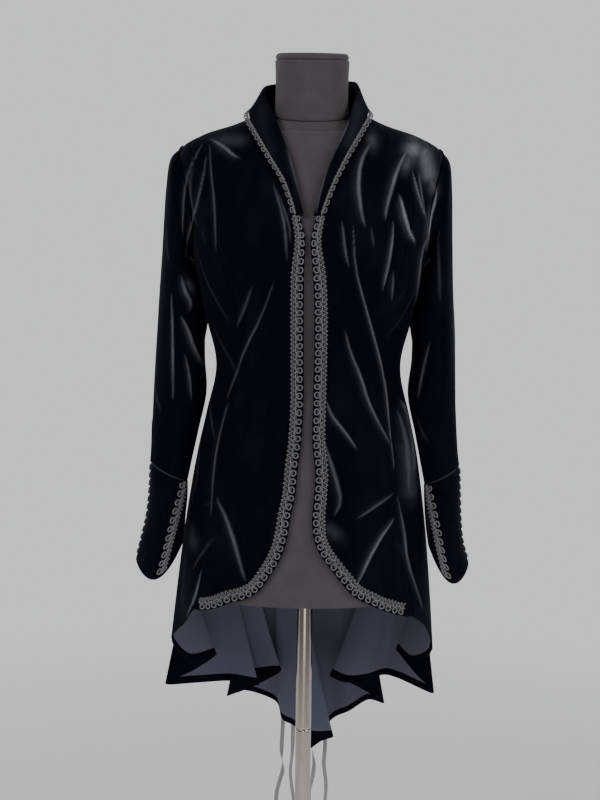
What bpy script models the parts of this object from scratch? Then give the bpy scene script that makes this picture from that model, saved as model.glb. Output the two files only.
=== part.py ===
"""A gothic victorian jacket on a limbless dress form: velvet panels with a high-low hem, trimmed with loop gimp."""

import math

import bmesh
import bpy
import numpy as np
from mathutils import Vector
from mathutils.bvhtree import BVHTree

WALL = 0.0018
SEAM_GAP = 0.00034
TINY = 1e-12
BACK_SEAM_GAP = 0.0011
LAY_GAP = 0.0008
CUFF_LAY = 0.0009
SLEEVE_GAP = 0.0006
HIP = 0.930
FLARE = 1.15
SLIDE = 2.0
VALLEY_TOP = 0.728

GIMP_WIDTH = 0.018
GIMP_BAND = 0.009
LOOP_LENGTH = 0.009
GIMP_PITCH = 0.0115
GIMP_THICK = 0.0013
GIMP_INSET = 0.0006
GIMP_SPAN = (0.006, 0.985)
LOOP_TIP = 0.62
LOOP_RIM = 0.0023

RIBBON_WIDTH = 0.007
RIBBON_THICK = 0.0007
RIBBON_GAP = 0.0030
RIBBON_CLEAR = 0.0005
KNOT_SIZE = (0.031, 0.0085, 0.018)
KNOT_BEVEL = 0.003
TIE_GAP = 0.0012

FORM_BOTTOM = 0.732
NECK_BASE = 1.4135
NECK_RADIUS = 0.053
NECK_TOP = 1.4935
NECK_TILT = math.radians(12)
CAP_TILT = math.radians(7)
CAP_HEIGHT = 0.009
CAP_INSET = 0.001
CAP_BEVEL = 0.005
FORM_SIDES = 16
FORM_START = 0.012
FORM_STRETCH = 1.5
FORM_UP = 1.6
SEAT_GAP = 0.0007
POLE_RADIUS = 0.0115
POLE_JOINT = 0.517
BASE_RADIUS = 0.170
BASE_THICK = 0.009
BASE_BEVEL = 0.004
HUB_RADIUS = 0.021
HUB_TOP = 0.040
HUB_BEVEL = 0.003

# The jacket's outer face: name, height, half_width, front, back, power of its superellipse
BODY = (
    ("tail", 0.400, 0.206, 0.165, 0.250, 2.1),
    ("low", 0.600, 0.193, 0.152, 0.200, 2.1),
    ("hem", 0.720, 0.184, 0.144, 0.172, 2.1),
    ("seat", 0.800, 0.177, 0.138, 0.154, 2.1),
    ("hip", 0.870, 0.169, 0.130, 0.140, 2.1),
    ("high_hip", 0.930, 0.160, 0.120, 0.124, 2.1),
    ("belly", 0.990, 0.147, 0.111, 0.106, 2.1),
    ("waist", 1.060, 0.1335, 0.104, 0.090, 2.1),
    ("ribs", 1.130, 0.149, 0.120, 0.098, 2.15),
    ("under_bust", 1.190, 0.162, 0.136, 0.105, 2.2),
    ("bust", 1.245, 0.172, 0.140, 0.110, 2.3),
    ("chest", 1.300, 0.182, 0.120, 0.110, 2.5),
    ("armhole", 1.340, 0.188, 0.097, 0.103, 2.6),
    ("shoulder", 1.368, 0.184, 0.079, 0.092, 2.5),
    ("slope", 1.388, 0.150, 0.064, 0.078, 2.3),
    ("inner", 1.402, 0.108, 0.056, 0.068, 2.1),
    ("neck", 1.416, 0.080, 0.052, 0.062, 2.0),
    ("top", 1.432, 0.068, 0.050, 0.060, 2.0),
)

# The form's rings: height, clearance inside the wall, then its neck seat: height, half width, front, back, tilt
FORM_ROWS = (
    (FORM_BOTTOM, 0.0042), (0.800, 0.0035), (0.870, 0.0035), (0.930, 0.0035), (0.995, 0.0030),
    (1.060, 0.0050), (1.115, 0.0040), (1.170, 0.0030), (1.222, 0.0030), (1.258, 0.0030), (1.295, 0.0030),
    (1.330, 0.0025), (1.357, 0.0026), (1.377, 0.0022), (1.389, 0.0012),
)
FORM_NECK = (
    (1.3930, 0.1030, 0.0470, 0.0560, 3.0),
    (1.4000, 0.0780, 0.0480, 0.0540, 8.0),
    (1.4080, 0.0600, 0.0510, 0.0540, 11.0),
    (NECK_BASE, 0.0550, 0.0545, 0.0550, 12.0),
)

# Each seam's height and degrees from centre front, counted by way of the left side and the back
SEAMS = {
    "princess_left": (
        (0.700, -59.5), (0.770, -54.5), (0.873, -52.0), (0.948, -54.5), (1.0135, -50.0),
        (1.063, -46.5), (1.113, -42.0), (1.164, -41.0), (1.230, -46.0), (1.3125, -44.0),
        (1.350, -52.0), (1.375, -68.0), (1.389, -90.0),
    ),
    "side_left": ((0.400, -90.0), (1.389, -90.0)),
    "back_left": (
        (0.400, -140.0), (0.930, -140.0), (1.060, -146.0), (1.200, -139.0), (1.300, -136.0),
        (1.350, -129.0), (1.375, -113.0), (1.389, -90.0),
    ),
    "centre_back": ((0.400, -180.0), (1.389, -180.0)),
    "back_right": (
        (0.400, -218.0), (0.930, -218.0), (1.060, -214.0), (1.200, -221.0), (1.300, -224.0),
        (1.350, -231.0), (1.375, -247.0), (1.389, -270.0),
    ),
    "side_right": ((0.400, -270.0), (1.389, -270.0)),
    "princess_right": (
        (0.700, -305.5), (0.789, -308.8), (0.873, -310.1), (0.919, -309.9), (0.9885, -310.4),
        (1.047, -308.7), (1.115, -313.2), (1.157, -314.4), (1.210, -312.7), (1.267, -311.7),
        (1.337, -315.0), (1.358, -308.0), (1.375, -294.0), (1.389, -270.0),
    ),
}

# The hem from the left princess seam by way of the back: name, x, y, z in millimetres
HEM = (
    ("foot_left", -157.5, -79.0, 716.0),
    ("side_front_left", -176, -40, 685),
    ("crest_side_left", -198, 5, 648),
    ("flute_a", -174, 44, 606),
    ("valley_a", -136, 80, 604),
    ("turn_a", -171, 96, 574),
    ("crest_b", -215, 90, 554),
    ("flute_b", -170, 124, 546),
    ("flute_b_end", -116, 153, 541),
    ("valley_b", -73, 157, 533),
    ("turn_b", -89, 176, 531),
    ("crest_c", -94, 190, 539),
    ("valley_c", -37, 192, 546),
    ("turn_c", -84, 216, 511),
    ("crest_d", -126, 228, 491),
    ("flute_d", -98, 252, 495),
    ("flute_d_drop", -45, 255, 476),
    ("flute_d_low", -33, 244, 449),
    ("flute_d_pole", -14, 239, 440),
    ("flute_d_end", 16, 229, 424),
    ("valley_d", 50, 224, 425),
    ("turn_d", 31, 250, 408),
    ("crest_centre", 6, 268, 384),
    ("flute_e", 47, 280, 435),
    ("flute_e_mid", 78, 268, 456),
    ("flute_e_end", 110, 250, 482),
    ("crest_e", 134, 217, 487),
    ("turn_e", 87, 203, 519),
    ("valley_e", 45, 184, 541),
    ("flute_f", 67, 166, 537),
    ("flute_f_mid", 99, 172, 539),
    ("flute_f_end", 128, 180, 546),
    ("turn_f", 153, 140, 552),
    ("crest_f", 200, 66, 552),
    ("turn_g", 171, 64, 583),
    ("valley_g", 142, 66, 619),
    ("flute_g", 162, 30, 611),
    ("crest_side_right", 189, 0, 636),
    ("side_front_right", 178, -36, 681),
    ("foot_right", 145.0, -90.5, 711.0),
)
SEAM_STOPS = {
    "princess_left": 0, "side_left": 2, "back_left": 9, "centre_back": 21.5,
    "back_right": 28, "side_right": 37, "princess_right": 39,
}
# The hem places where each panel has a column
COLUMNS = {
    "side_front_left": (0, 0.7, 1.4, 2),
    "side_back_left": (2, 2.5, 3, 3.5, 4, 4.6, 5.2, 5.6, 6, 6.5, 7.2, 8, 9),
    "back_left": (9, 10, 10.6, 11.2, 12, 13, 13.6, 14, 14.5, 15.2, 16, 17.5, 19, 20, 20.7, 21.5),
    "back_right": (21.5, 22, 22.5, 23.2, 24, 25, 25.6, 26, 26.5, 27.2, 28),
    "side_back_right": (28, 29, 30, 31, 32, 32.6, 33, 33.5, 34.2, 35, 36, 37),
    "side_front_right": (37, 37.6, 38.3, 39),
}

# Grid rows: heights above the armpit on the princess seams and centre back, turns of the armhole,
# heights round the body, then shares of the way to the hem
PRINCESS_ROWS = (1.389, 1.377, 1.357, 1.330, 1.295, 1.250, 1.222)
CENTRE_ROWS = (1.4325, 1.412, 1.385, 1.350, 1.310, 1.268, 1.226)
ARMHOLE_TURN = (0, 32, 60, 88, 115, 145, 180)
BODICE_ROWS = (1.170, 1.115, 1.060, 0.995, HIP)
SKIRT_ROWS = (0.17, 0.34, 0.51, 0.68, 0.84, 1.0)

NECK_ROWS = 6
ARMHOLE_MIDDLE = 1.2915
ARMHOLE_HALF_HEIGHT = 0.0785
ARMHOLE_FRONT = 26.0
ARMHOLE_BACK = 25.0

# Front edges, from the neck to the foot of the princess seam: x and z on the body's front
NECKLINE_RIGHT = (
    (0.0780, 1.4180), (0.0655, 1.3985), (0.0500, 1.3700), (0.0345, 1.3400), (0.0180, 1.3000), (0.0055, 1.2620),
)
NECKLINE_LEFT = (
    (-0.0780, 1.4180), (-0.0680, 1.3970), (-0.0540, 1.3680), (-0.0400, 1.3400), (-0.0245, 1.3000), (-0.0125, 1.2620),
)
EDGE_RIGHT = (
    (0.0055, 1.262), (0.0002, 1.234), (0.0032, 1.198), (0.0065, 1.150), (0.0075, 1.080),
    (0.0068, 1.015), (0.0065, 0.960), (0.0110, 0.920), (0.0095, 0.885), (0.0075, 0.855),
    (0.0105, 0.828), (0.0190, 0.808), (0.0330, 0.789), (0.0490, 0.769), (0.0650, 0.751),
    (0.0830, 0.740), (0.1020, 0.7295), (0.1230, 0.7205), (0.1430, 0.7125),
)
EDGE_LEFT = (
    (-0.0125, 1.262), (-0.0070, 1.236), (-0.0080, 1.198), (-0.0080, 1.150), (-0.0072, 1.080),
    (-0.0066, 1.015), (-0.0090, 0.960), (-0.0130, 0.925), (-0.0165, 0.885), (-0.0220, 0.860),
    (-0.0275, 0.825), (-0.0365, 0.799), (-0.0500, 0.776), (-0.0640, 0.756), (-0.0830, 0.743),
    (-0.1060, 0.7345), (-0.1280, 0.7230), (-0.1540, 0.7150),
)

# Half a collar from centre back to the break: degrees of the seam on the nape, or its height on the front,
# then the roll line and the outer edge, whose y is left out where they lie on the front
COLLAR_BACK = ((180, (0.0, 0.0680, 1.4740), (0.0, 0.0890, 1.4300)),)
COLLAR_RIGHT = (
    (135, (0.0480, 0.0470, 1.4710), (0.0620, 0.0630, 1.4290)),
    (90, (0.0635, 0.0080, 1.4610), (0.0785, 0.0100, 1.4290)),
    (1.4020, (0.0572, -0.0260, 1.4260), (0.0765, None, 1.4110)),
    (1.3800, (0.0490, None, 1.3965), (0.0650, None, 1.3860)),
    (1.3530, (0.0325, None, 1.3560), (0.0480, None, 1.3550)),
    (1.3170, (0.0175, None, 1.3175), (0.0305, None, 1.3190)),
    (1.2900, (0.0095, None, 1.2890), (0.0185, None, 1.2900)),
    (1.2680, (0.0030, None, 1.2680), (0.0112, None, 1.2680)),
)
COLLAR_LEFT = (
    (135, (-0.0500, 0.0470, 1.4700), (-0.0680, 0.0620, 1.4290)),
    (90, (-0.0640, 0.0060, 1.4560), (-0.0850, 0.0080, 1.4270)),
    (1.4000, (-0.0545, -0.0300, 1.4200), (-0.0860, None, 1.4060)),
    (1.3780, (-0.0450, None, 1.3900), (-0.0730, None, 1.3800)),
    (1.3480, (-0.0310, None, 1.3520), (-0.0540, None, 1.3480)),
    (1.3150, (-0.0205, None, 1.3160), (-0.0355, None, 1.3170)),
    (1.2900, (-0.0150, None, 1.2890), (-0.0245, None, 1.2900)),
    (1.2680, (-0.0098, None, 1.2680), (-0.0180, None, 1.2680)),
)
COLLAR_LIFT = 0.0052
ROLL_HALF = 0.0022
ROLL_DROP = 0.0012
COLLAR_SEAM_GAP = 0.0009
COLLAR_TRIM_GAP = 0.0006
COLLAR_BAND = 0.0035
COLLAR_STEP = 0.002
ROLL_STOPS = (0, 0.40, 0.5, 0.60, 1.0)
COLLAR_ACROSS = (0.001, 0.401, 0.5, 0.599, 0.999)
COLLAR_SPAN = (0.003, 0.010, 0.497)
FALL_SHARE = 0.62
NAPE_LOW = 1.4180
NAPE_RISE = 0.0145
SHOULDER_GAP = 0.0016
SHOULDER_LOW = 1.375

# Sleeve rings: outer_left, outer_right, outer_z, inner_left, inner_right, inner_z, middle_y, half_depth
SLEEVE = (
    (0.2010, 0.1985, 1.352, 0.1700, 0.1700, 1.2090, 0.004, 0.060),
    (0.2070, 0.2025, 1.312, 0.1685, 0.1685, 1.2030, 0.004, 0.060),
    (0.2100, 0.2042, 1.266, 0.1665, 0.1665, 1.1955, 0.004, 0.059),
    (0.2128, 0.2055, 1.215, 0.1636, 0.1636, 1.1850, 0.004, 0.057),
    (0.2165, 0.2080, 1.163, 0.1556, 0.1556, 1.1500, 0.005, 0.054),
    (0.2195, 0.2118, 1.113, 0.1512, 0.1512, 1.1120, 0.006, 0.051),
    (0.2220, 0.2132, 1.067, 0.1502, 0.1500, 1.0670, 0.004, 0.049),
    (0.2240, 0.2142, 1.021, 0.1475, 0.1455, 1.0180, 0.000, 0.046),
    (0.2248, 0.2158, 0.975, 0.1580, 0.1560, 0.9640, -0.010, 0.042),
    (0.2250, 0.2175, 0.940, 0.1665, 0.1640, 0.9220, -0.020, 0.038),
    (0.2252, 0.2192, 0.921, 0.1718, 0.1692, 0.8940, -0.028, 0.035),
)
# Cuff rings: as above, then how far the front and the back dip below the ring's plane
CUFF = (
    (0.2253, 0.2193, 0.9210, 0.1717, 0.1691, 0.8940, -0.028, 0.0351, 0.000, 0.000),
    (0.2262, 0.2206, 0.8800, 0.1716, 0.1695, 0.8700, -0.033, 0.0350, 0.000, 0.000),
    (0.2300, 0.2222, 0.8420, 0.1735, 0.1708, 0.8480, -0.036, 0.0360, 0.004, 0.002),
    (0.2375, 0.2262, 0.8090, 0.1750, 0.1730, 0.8260, -0.038, 0.0380, 0.018, 0.010),
    (0.2450, 0.2350, 0.7800, 0.1775, 0.1765, 0.8030, -0.038, 0.0400, 0.034, 0.022),
)

# Cuff trims: name, turn at the top, turn at the bottom, first and last share of the cuff, side of the loops
CUFF_TRIMS = (
    ("front", 146.0, 98.0, 0.03, 0.97, -1),
    ("back", -22.0, -24.0, 0.03, 0.97, 1),
)

# Ribbon ends behind the tail: x at the knot, x at the hem, x and z at the end, sway (metres)
RIBBONS = (
    (-0.0114, -0.0345, -0.0400, 0.285, 0.0040),
    (-0.0038, -0.0165, -0.0150, 0.262, -0.0030),
    (0.0038, 0.0165, 0.0190, 0.272, 0.0035),
    (0.0114, 0.0390, 0.0400, 0.292, -0.0020),
)
KNOT_HEIGHT = 1.060

MATERIALS = {
    "velvet": ((0.010, 0.011, 0.020), 0.75, 0.0),
    "jersey": ((0.075, 0.065, 0.067), 0.85, 0.0),
    "gimp": ((0.050, 0.050, 0.056), 0.60, 0.0),
    "satin": ((0.300, 0.300, 0.310), 0.35, 0.0),
    "chrome": ((0.700, 0.690, 0.680), 0.12, 1.0),
}


def slopes_of(knots, values):
    steps = np.diff(knots).reshape(-1, *[1] * (values.ndim - 1))
    rise = np.diff(values, axis=0) / steps
    return np.concatenate([rise[:1], (rise[1:] + rise[:-1]) / 2, rise[-1:]])


def spline(knots, values, at):
    """Smooth values through the knots, with a cubic between each two."""
    knots, values = np.asarray(knots, float), np.asarray(values, float)
    at = np.clip(np.asarray(at, float), knots[0], knots[-1])
    slopes = slopes_of(knots, values)
    i = np.clip(np.searchsorted(knots, at, side="right") - 1, 0, len(knots) - 2)
    step = knots[i + 1] - knots[i]
    t = (at - knots[i]) / step
    if values.ndim > 1:
        step, t = step[..., None], t[..., None]
    start = (2 * t**3 - 3 * t**2 + 1) * values[i] + (t**3 - 2 * t**2 + t) * step * slopes[i]
    end = (3 * t**2 - 2 * t**3) * values[i + 1] + (t**3 - t**2) * step * slopes[i + 1]
    return start + end


def unit(vectors):
    return vectors / np.linalg.norm(vectors, axis=-1, keepdims=True)


BODY_HEIGHTS = [row[1] for row in BODY]
BODY_SIZES = [row[2:] for row in BODY]


def body(theta, height):
    """The jacket's outer face at an angle from centre front, towards +X, and a height."""
    theta, height = np.broadcast_arrays(np.asarray(theta, float), np.asarray(height, float))
    half, front, back, power = np.moveaxis(spline(BODY_HEIGHTS, BODY_SIZES, height), -1, 0)
    across, along = np.sin(theta), np.cos(theta)
    reach = (np.abs(across) ** power + np.abs(along) ** power) ** (-1 / power)
    depth = np.where(along > 0, front, back)
    return np.stack([half * reach * across, -depth * reach * along, height], -1)


def body_normal(theta, height):
    small = 1e-4
    along = body(theta + small, height) - body(theta - small, height)
    up = body(theta, height + small) - body(theta, height - small)
    return unit(np.cross(along, up))


def front_angle(x, height):
    """The angle of the front point with this x."""
    half, _, _, power = np.moveaxis(spline(BODY_HEIGHTS, BODY_SIZES, height), -1, 0)
    across = np.clip(np.abs(x) / half, 0, 1)
    along = (1 - across**power) ** (1 / power)
    return np.arctan2(across, along) * np.sign(x)


def seam_angle(name, height):
    rows = np.array(SEAMS[name])
    return np.radians(spline(rows[:, 0], rows[:, 1], height))


HEM_POINTS = np.array([row[1:] for row in HEM]) / 1000
for foot, seam in ((0, "princess_left"), (-1, "princess_right")):
    HEM_POINTS[foot] = body(seam_angle(seam, HEM_POINTS[foot, 2]), HEM_POINTS[foot, 2])
STOPS = np.array(list(SEAM_STOPS.values()))


def hem_point(k):
    return spline(range(len(HEM)), HEM_POINTS, k)


def panel_angle(k, height):
    """The angle on the body of hem place k, held between its panel's two seams at each height."""
    stops = np.stack([seam_angle(name, height) for name in SEAM_STOPS])
    i = np.clip(np.searchsorted(STOPS, k, side="right") - 1, 0, len(STOPS) - 2)
    share = (k - STOPS[i]) / (STOPS[i + 1] - STOPS[i])
    first = np.take_along_axis(stops, i[None], 0)[0]
    last = np.take_along_axis(stops, i[None] + 1, 0)[0]
    return first + (last - first) * share


def skirt(k, share):
    """The flared skirt: hem place k, and the share of the way from the hip to the hem.

    Crests grow outward from the hip, folds slide sideways lower down, and valleys go in below the form."""
    k, share = np.broadcast_arrays(np.asarray(k, float), np.asarray(share, float))
    hem = hem_point(k)
    height = HIP + (hem[..., 2] - HIP) * share
    smooth = body(panel_angle(k, height), height)
    angle = panel_angle(k, hem[..., 2])
    end = body(angle, hem[..., 2])
    out = unit(body_normal(angle, hem[..., 2]) * (1, 1, 0))
    out = out * np.where((out * end).sum(-1, keepdims=True) > 0, 1, -1)
    offset = (hem - end) * (1, 1, 0)
    reach = (offset * out).sum(-1)
    slide = offset - out * reach[..., None]
    inward = np.clip((VALLEY_TOP - height) / (VALLEY_TOP - hem[..., 2]), 0, 1)
    grow = np.where(reach > 0, share**FLARE, inward)
    return smooth + out * (reach * grow)[..., None] + slide * (share**SLIDE)[..., None]


def skirt_normal(k, share):
    small = 1e-3
    low, high = np.maximum(k - small, 0), np.minimum(k + small, len(HEM) - 1)
    along = skirt(high, share) - skirt(low, share)
    down = skirt(k, share + small) - skirt(k, share - small)
    return unit(np.cross(along, down))


def armhole(side, turn):
    """The armhole's angle and height at a turn in radians, from its top by way of the front."""
    reach = np.where(np.sin(turn) > 0, ARMHOLE_FRONT, ARMHOLE_BACK)
    angle = np.radians(90 - reach * np.sin(turn))
    return side * angle, ARMHOLE_MIDDLE + ARMHOLE_HALF_HEIGHT * np.cos(turn)


def drawn_in(points, normals, gap):
    """The shift of a grid's border, square to each seam, which leaves the seams' gaps between two pieces."""
    shift = np.zeros_like(points)
    for column, near in ((0, 1), (-1, -2)):
        down = np.gradient(points[:, column], axis=0)
        square = unit(np.cross(down, normals[:, column]))
        facing = np.sign((square * (points[:, near] - points[:, column])).sum())
        shift[:, column] += square * facing * gap
    shift[0] += unit(points[1] - points[0]) * gap
    shift[-1] += unit(points[-2] - points[-1]) * gap
    return shift


def tree_over(names):
    """A tree over the faces of the named objects, so that what lies on them follows their real facets."""
    points, faces = [], []
    for name in names:
        data = bpy.data.objects[name].data
        start = len(points)
        points += [v.co for v in data.vertices]
        faces += [[start + n for n in p.vertices] for p in data.polygons]
    return BVHTree.FromPolygons(points, faces)


def laid(tree, points, normals, reach=0.02):
    """The points moved along their normals onto the first face met from outside."""
    made = points.copy()
    for n, (point, normal) in enumerate(zip(points, normals)):
        hit = tree.ray_cast(Vector(point + normal * reach), Vector(-normal), 2 * reach)[0]
        if hit is not None:
            made[n] = hit
    return made


def material(name):
    colour, roughness, metallic = MATERIALS[name]
    made = bpy.data.materials.new(name)
    made.use_nodes = True
    shader = made.node_tree.nodes["Principled BSDF"]
    shader.inputs["Base Color"].default_value = (*colour, 1)
    shader.inputs["Roughness"].default_value = roughness
    shader.inputs["Metallic"].default_value = metallic
    return made


def finish(mesh, name, look, smooth=True):
    """Turns the bmesh into an object with its faces out and its own material."""
    bmesh.ops.recalc_face_normals(mesh, faces=mesh.faces)
    if mesh.calc_volume(signed=True) < 0:
        bmesh.ops.reverse_faces(mesh, faces=mesh.faces)
    data = bpy.data.meshes.new(name)
    mesh.to_mesh(data)
    mesh.free()
    if smooth:
        data.shade_smooth()
        data.set_sharp_from_angle(angle=math.radians(50))
    data.materials.append(material(look))
    made = bpy.data.objects.new(name, data)
    bpy.context.scene.collection.objects.link(made)
    return made


def thickened(mesh):
    """Splits the flat faces in three-sided ones and extrudes them, level 1, so that both faces match."""
    bmesh.ops.triangulate(mesh, faces=mesh.faces, quad_method="FIXED")
    made = bmesh.ops.extrude_face_region(mesh, geom=mesh.faces[:], use_keep_orig=True)
    raised = [v for v in made["geom"] if isinstance(v, bmesh.types.BMVert)]
    bmesh.ops.translate(mesh, verts=raised, vec=(0, 0, 1))


def wall(name, outer, inner, look, around=False):
    """A closed wall between two grids of points, rows by columns. A tube's last column is its first."""
    rows, columns = outer.shape[0] - 1, outer.shape[1] - 1
    mesh = bmesh.new()
    bmesh.ops.create_grid(mesh, x_segments=columns, y_segments=rows, size=1)
    for vert in mesh.verts:
        vert.co.x = round((vert.co.x + 1) / 2 * columns)
        vert.co.y = round((vert.co.y + 1) / 2 * rows)
    thickened(mesh)
    if around:
        upright = [f for f in mesh.faces if len({v.co.x for v in f.verts}) == 1]
        ends = [f for f in upright if f.verts[0].co.x in (0, columns)]
        bmesh.ops.delete(mesh, geom=ends, context="FACES")
    for vert in mesh.verts:
        i, j, level = (round(c) for c in vert.co)
        vert.co = (inner if level else outer)[j, i]
    if around:
        bmesh.ops.remove_doubles(mesh, verts=mesh.verts, dist=1e-6)
    return finish(mesh, name, look)


def facet_normals(points, like, around=False):
    """Normals of a grid from the corners of its own facets, turned as the given ones are."""
    right, down = np.zeros_like(points), np.zeros_like(points)
    left, up = np.zeros_like(points), np.zeros_like(points)
    right[:, :-1], down[:-1] = np.diff(points, axis=1), np.diff(points, axis=0)
    left[:, 1:], up[1:] = -right[:, :-1], -down[:-1]
    if around:
        right[:, -1], left[:, 0] = right[:, 0], left[:, -1]
    total = np.zeros_like(points)
    for first, second in ((right, down), (down, left), (left, up), (up, right)):
        corner = np.cross(first, second)
        total += corner / np.maximum(np.linalg.norm(corner, axis=-1, keepdims=True), TINY)
    return unit(total) * np.sign((total * like).sum())


def cloth(name, outer, normals, gap=SEAM_GAP):
    """A panel's wall. Its seams keep the body's normals, so that they match the next panel's."""
    shift = drawn_in(outer, normals, gap / 2)
    normals = normals.copy()
    normals[1:, 1:-1] = facet_normals(outer, normals)[1:, 1:-1]
    return wall(name, outer + shift, outer - normals * WALL + shift, "velvet")


def between(first, last, places):
    """Rows of angles and heights between two borders, shared out as the hem places are."""
    share = (np.array(places) - places[0]) / (places[-1] - places[0])
    first, last = np.array(first), np.array(last)
    return first[:, None, :] + (last - first)[:, None, :] * share[None, :, None]


def seam_border(name, heights=PRINCESS_ROWS + BODICE_ROWS):
    return [(seam_angle(name, z), z) for z in heights]


def side_border(side, front):
    """Half an armhole, then the side seam, with the right side's angles a full turn lower, as in the seams."""
    turns = np.radians(ARMHOLE_TURN) * (1 if front else -1)
    angles, heights = armhole(side, turns)
    angles = angles if side < 0 else angles - math.tau
    return list(zip(angles, heights)) + seam_border("side_left" if side < 0 else "side_right", BODICE_ROWS)


def side_panel(name, first, last):
    """A side front or side back, between the borders of its two seams."""
    places = COLUMNS[name]
    upper = between(first, last, places)
    k, share = np.meshgrid(places, SKIRT_ROWS)
    points = np.concatenate([body(upper[..., 0], upper[..., 1]), skirt(k, share)])
    normals = np.concatenate([body_normal(upper[..., 0], upper[..., 1]), skirt_normal(k, share)])
    for column, stop in ((0, "princess_left"), (-1, "princess_right")):
        if places[column] == SEAM_STOPS[stop]:
            heights = points[:, column, 2]
            normals[:, column] = body_normal(seam_angle(stop, heights), heights)
    return cloth(name, points, outward(points, normals))


def outward(points, normals):
    """Turns all normals of a grid over where its first row faces in."""
    middle = points[0, points.shape[1] // 2] * (1, 1, 0)
    return normals if (normals[0, points.shape[1] // 2] * middle).sum() > 0 else -normals


def neck_row(side, columns):
    """The back panel's top: the shoulder seam, then half of the back neckline."""
    ridge = columns // 3
    quarter = math.pi / 2
    shoulder = [(-quarter, z) for z in np.linspace(PRINCESS_ROWS[0], NAPE_LOW, ridge + 1)]
    turns = quarter * np.linspace(1, 2, columns - ridge + 1)
    nape = [(-turn, nape_height(turn)) for turn in turns]
    row = shoulder + nape[1:]
    return row if side < 0 else [(-math.tau - angle, z) for angle, z in reversed(row)]


def centre_back_normals():
    """The normals down the skirt's centre-back seam, from the facets on its two sides."""
    beside = (COLUMNS["back_left"][-2], SEAM_STOPS["centre_back"], COLUMNS["back_right"][1])
    k, share = np.meshgrid(beside, SKIRT_ROWS)
    return facet_normals(skirt(k, share), skirt_normal(k, share))[:, 1]


def back_panel(name, side):
    places = COLUMNS[name]
    columns = len(places) - 1
    seam = "back_left" if side < 0 else "back_right"
    centre = [(-math.pi, z) for z in CENTRE_ROWS + BODICE_ROWS]
    other = seam_border(seam)
    first, last = (other, centre) if side < 0 else (centre, other)
    upper = between(first, last, places)
    upper[0] = neck_row(side, columns)
    k, share = np.meshgrid(places, SKIRT_ROWS)
    points = np.concatenate([body(upper[..., 0], upper[..., 1]), skirt(k, share)])
    normals = np.concatenate([body_normal(upper[..., 0], upper[..., 1]), skirt_normal(k, share)])
    normals[len(upper):, -1 if side < 0 else 0] = centre_back_normals()
    return cloth(name, points, outward(points, normals), BACK_SEAM_GAP)


def front_border(side):
    """Angle and height down the neckline, the front edge and the cutaway, a point for each grid row."""
    neck = np.array(NECKLINE_RIGHT if side > 0 else NECKLINE_LEFT)
    edge = np.array(EDGE_RIGHT if side > 0 else EDGE_LEFT)
    below = len(PRINCESS_ROWS) + len(BODICE_ROWS) + len(SKIRT_ROWS) - NECK_ROWS
    along = np.linspace(0, 1, below + 1)[1:]
    path = spline(np.linspace(0, 1, len(edge)), edge, along)
    points = np.concatenate([neck, path])
    angles = front_angle(points[:, 0], points[:, 1])
    angles[0] = side * math.pi / 2
    return np.stack([angles, points[:, 1]], -1)


def front_panel(name, side, columns):
    seam = "princess_left" if side < 0 else "princess_right"
    foot = SEAM_STOPS[seam]
    heights = HIP + (HEM_POINTS[foot][2] - HIP) * np.array(SKIRT_ROWS)
    border = np.array(seam_border(seam, PRINCESS_ROWS + BODICE_ROWS + tuple(heights)))
    if side > 0:
        border[:, 0] += math.tau
    upper = between(front_border(side), border, range(columns + 1))
    points = body(upper[..., 0], upper[..., 1])
    normals = body_normal(upper[..., 0], upper[..., 1])
    return cloth(name, points, outward(points, normals))


def ring(outer, inner, middle_y, depth, turn, dips=(0, 0)):
    """A sleeve ring through its outer and inner points, with its half depth front and back."""
    outer, inner = np.array(outer), np.array(inner)
    centre = (outer + inner) / 2
    centre[1] = middle_y
    reach = (outer - inner) / 2
    reach[1] = 0
    points = centre + np.cos(turn)[:, None] * reach - np.sin(turn)[:, None] * np.array([0, depth, 0])
    dip = np.where(np.sin(turn) > 0, dips[0], dips[1]) * np.sin(turn) ** 2
    points[:, 2] -= dip
    return points


def ring_turns():
    half = np.radians(ARMHOLE_TURN)
    return np.concatenate([half, half[-1] + np.cumsum(np.diff(half[::-1]) * -1)])


def grid_normals(points):
    """Normals of a tube's grid, rows by columns, whose last column is its first."""
    along = np.empty_like(points)
    along[:, 1:-1] = points[:, 2:] - points[:, :-2]
    along[:, 0] = along[:, -1] = points[:, 1] - points[:, -2]
    down = np.gradient(points, axis=0)
    normals = unit(np.cross(along, down))
    centre = points[:, :-1].mean(axis=1, keepdims=True)
    normals = normals * np.where(((points - centre) * normals).sum(-1, keepdims=True) > 0, 1, -1)
    return facet_normals(points, normals, around=True)


def rings_of(table, side, turns):
    rows = []
    for left, right, outer_z, inner_left, inner_right, inner_z, middle_y, depth, *dips in table:
        outer = (side * (right if side > 0 else left), middle_y, outer_z)
        inner = (side * (inner_right if side > 0 else inner_left), middle_y, inner_z)
        rows.append(ring(outer, inner, middle_y, depth, turns, dips or (0, 0)))
    return np.array(rows)


def sleeve(name, side):
    turns = ring_turns()
    angle, height = armhole(side, turns)
    lift = body_normal(angle, height)
    lift *= np.sign((lift * (side, 0, 0)).sum(-1, keepdims=True))
    first = body(angle, height) + lift * SLEEVE_GAP
    rings = np.concatenate([[first], rings_of(SLEEVE, side, turns)])
    normals = grid_normals(rings)
    away = normals[0] - lift * np.minimum((normals[0] * lift).sum(-1, keepdims=True), 0)
    outer, inner = rings.copy(), rings - normals * WALL
    outer[0], inner[0] = first + unit(away) * WALL, first
    outer[-1, :, 2] += SEAM_GAP / 2
    inner[-1, :, 2] += SEAM_GAP / 2
    return wall(name, outer, inner, "velvet", around=True)


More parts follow.
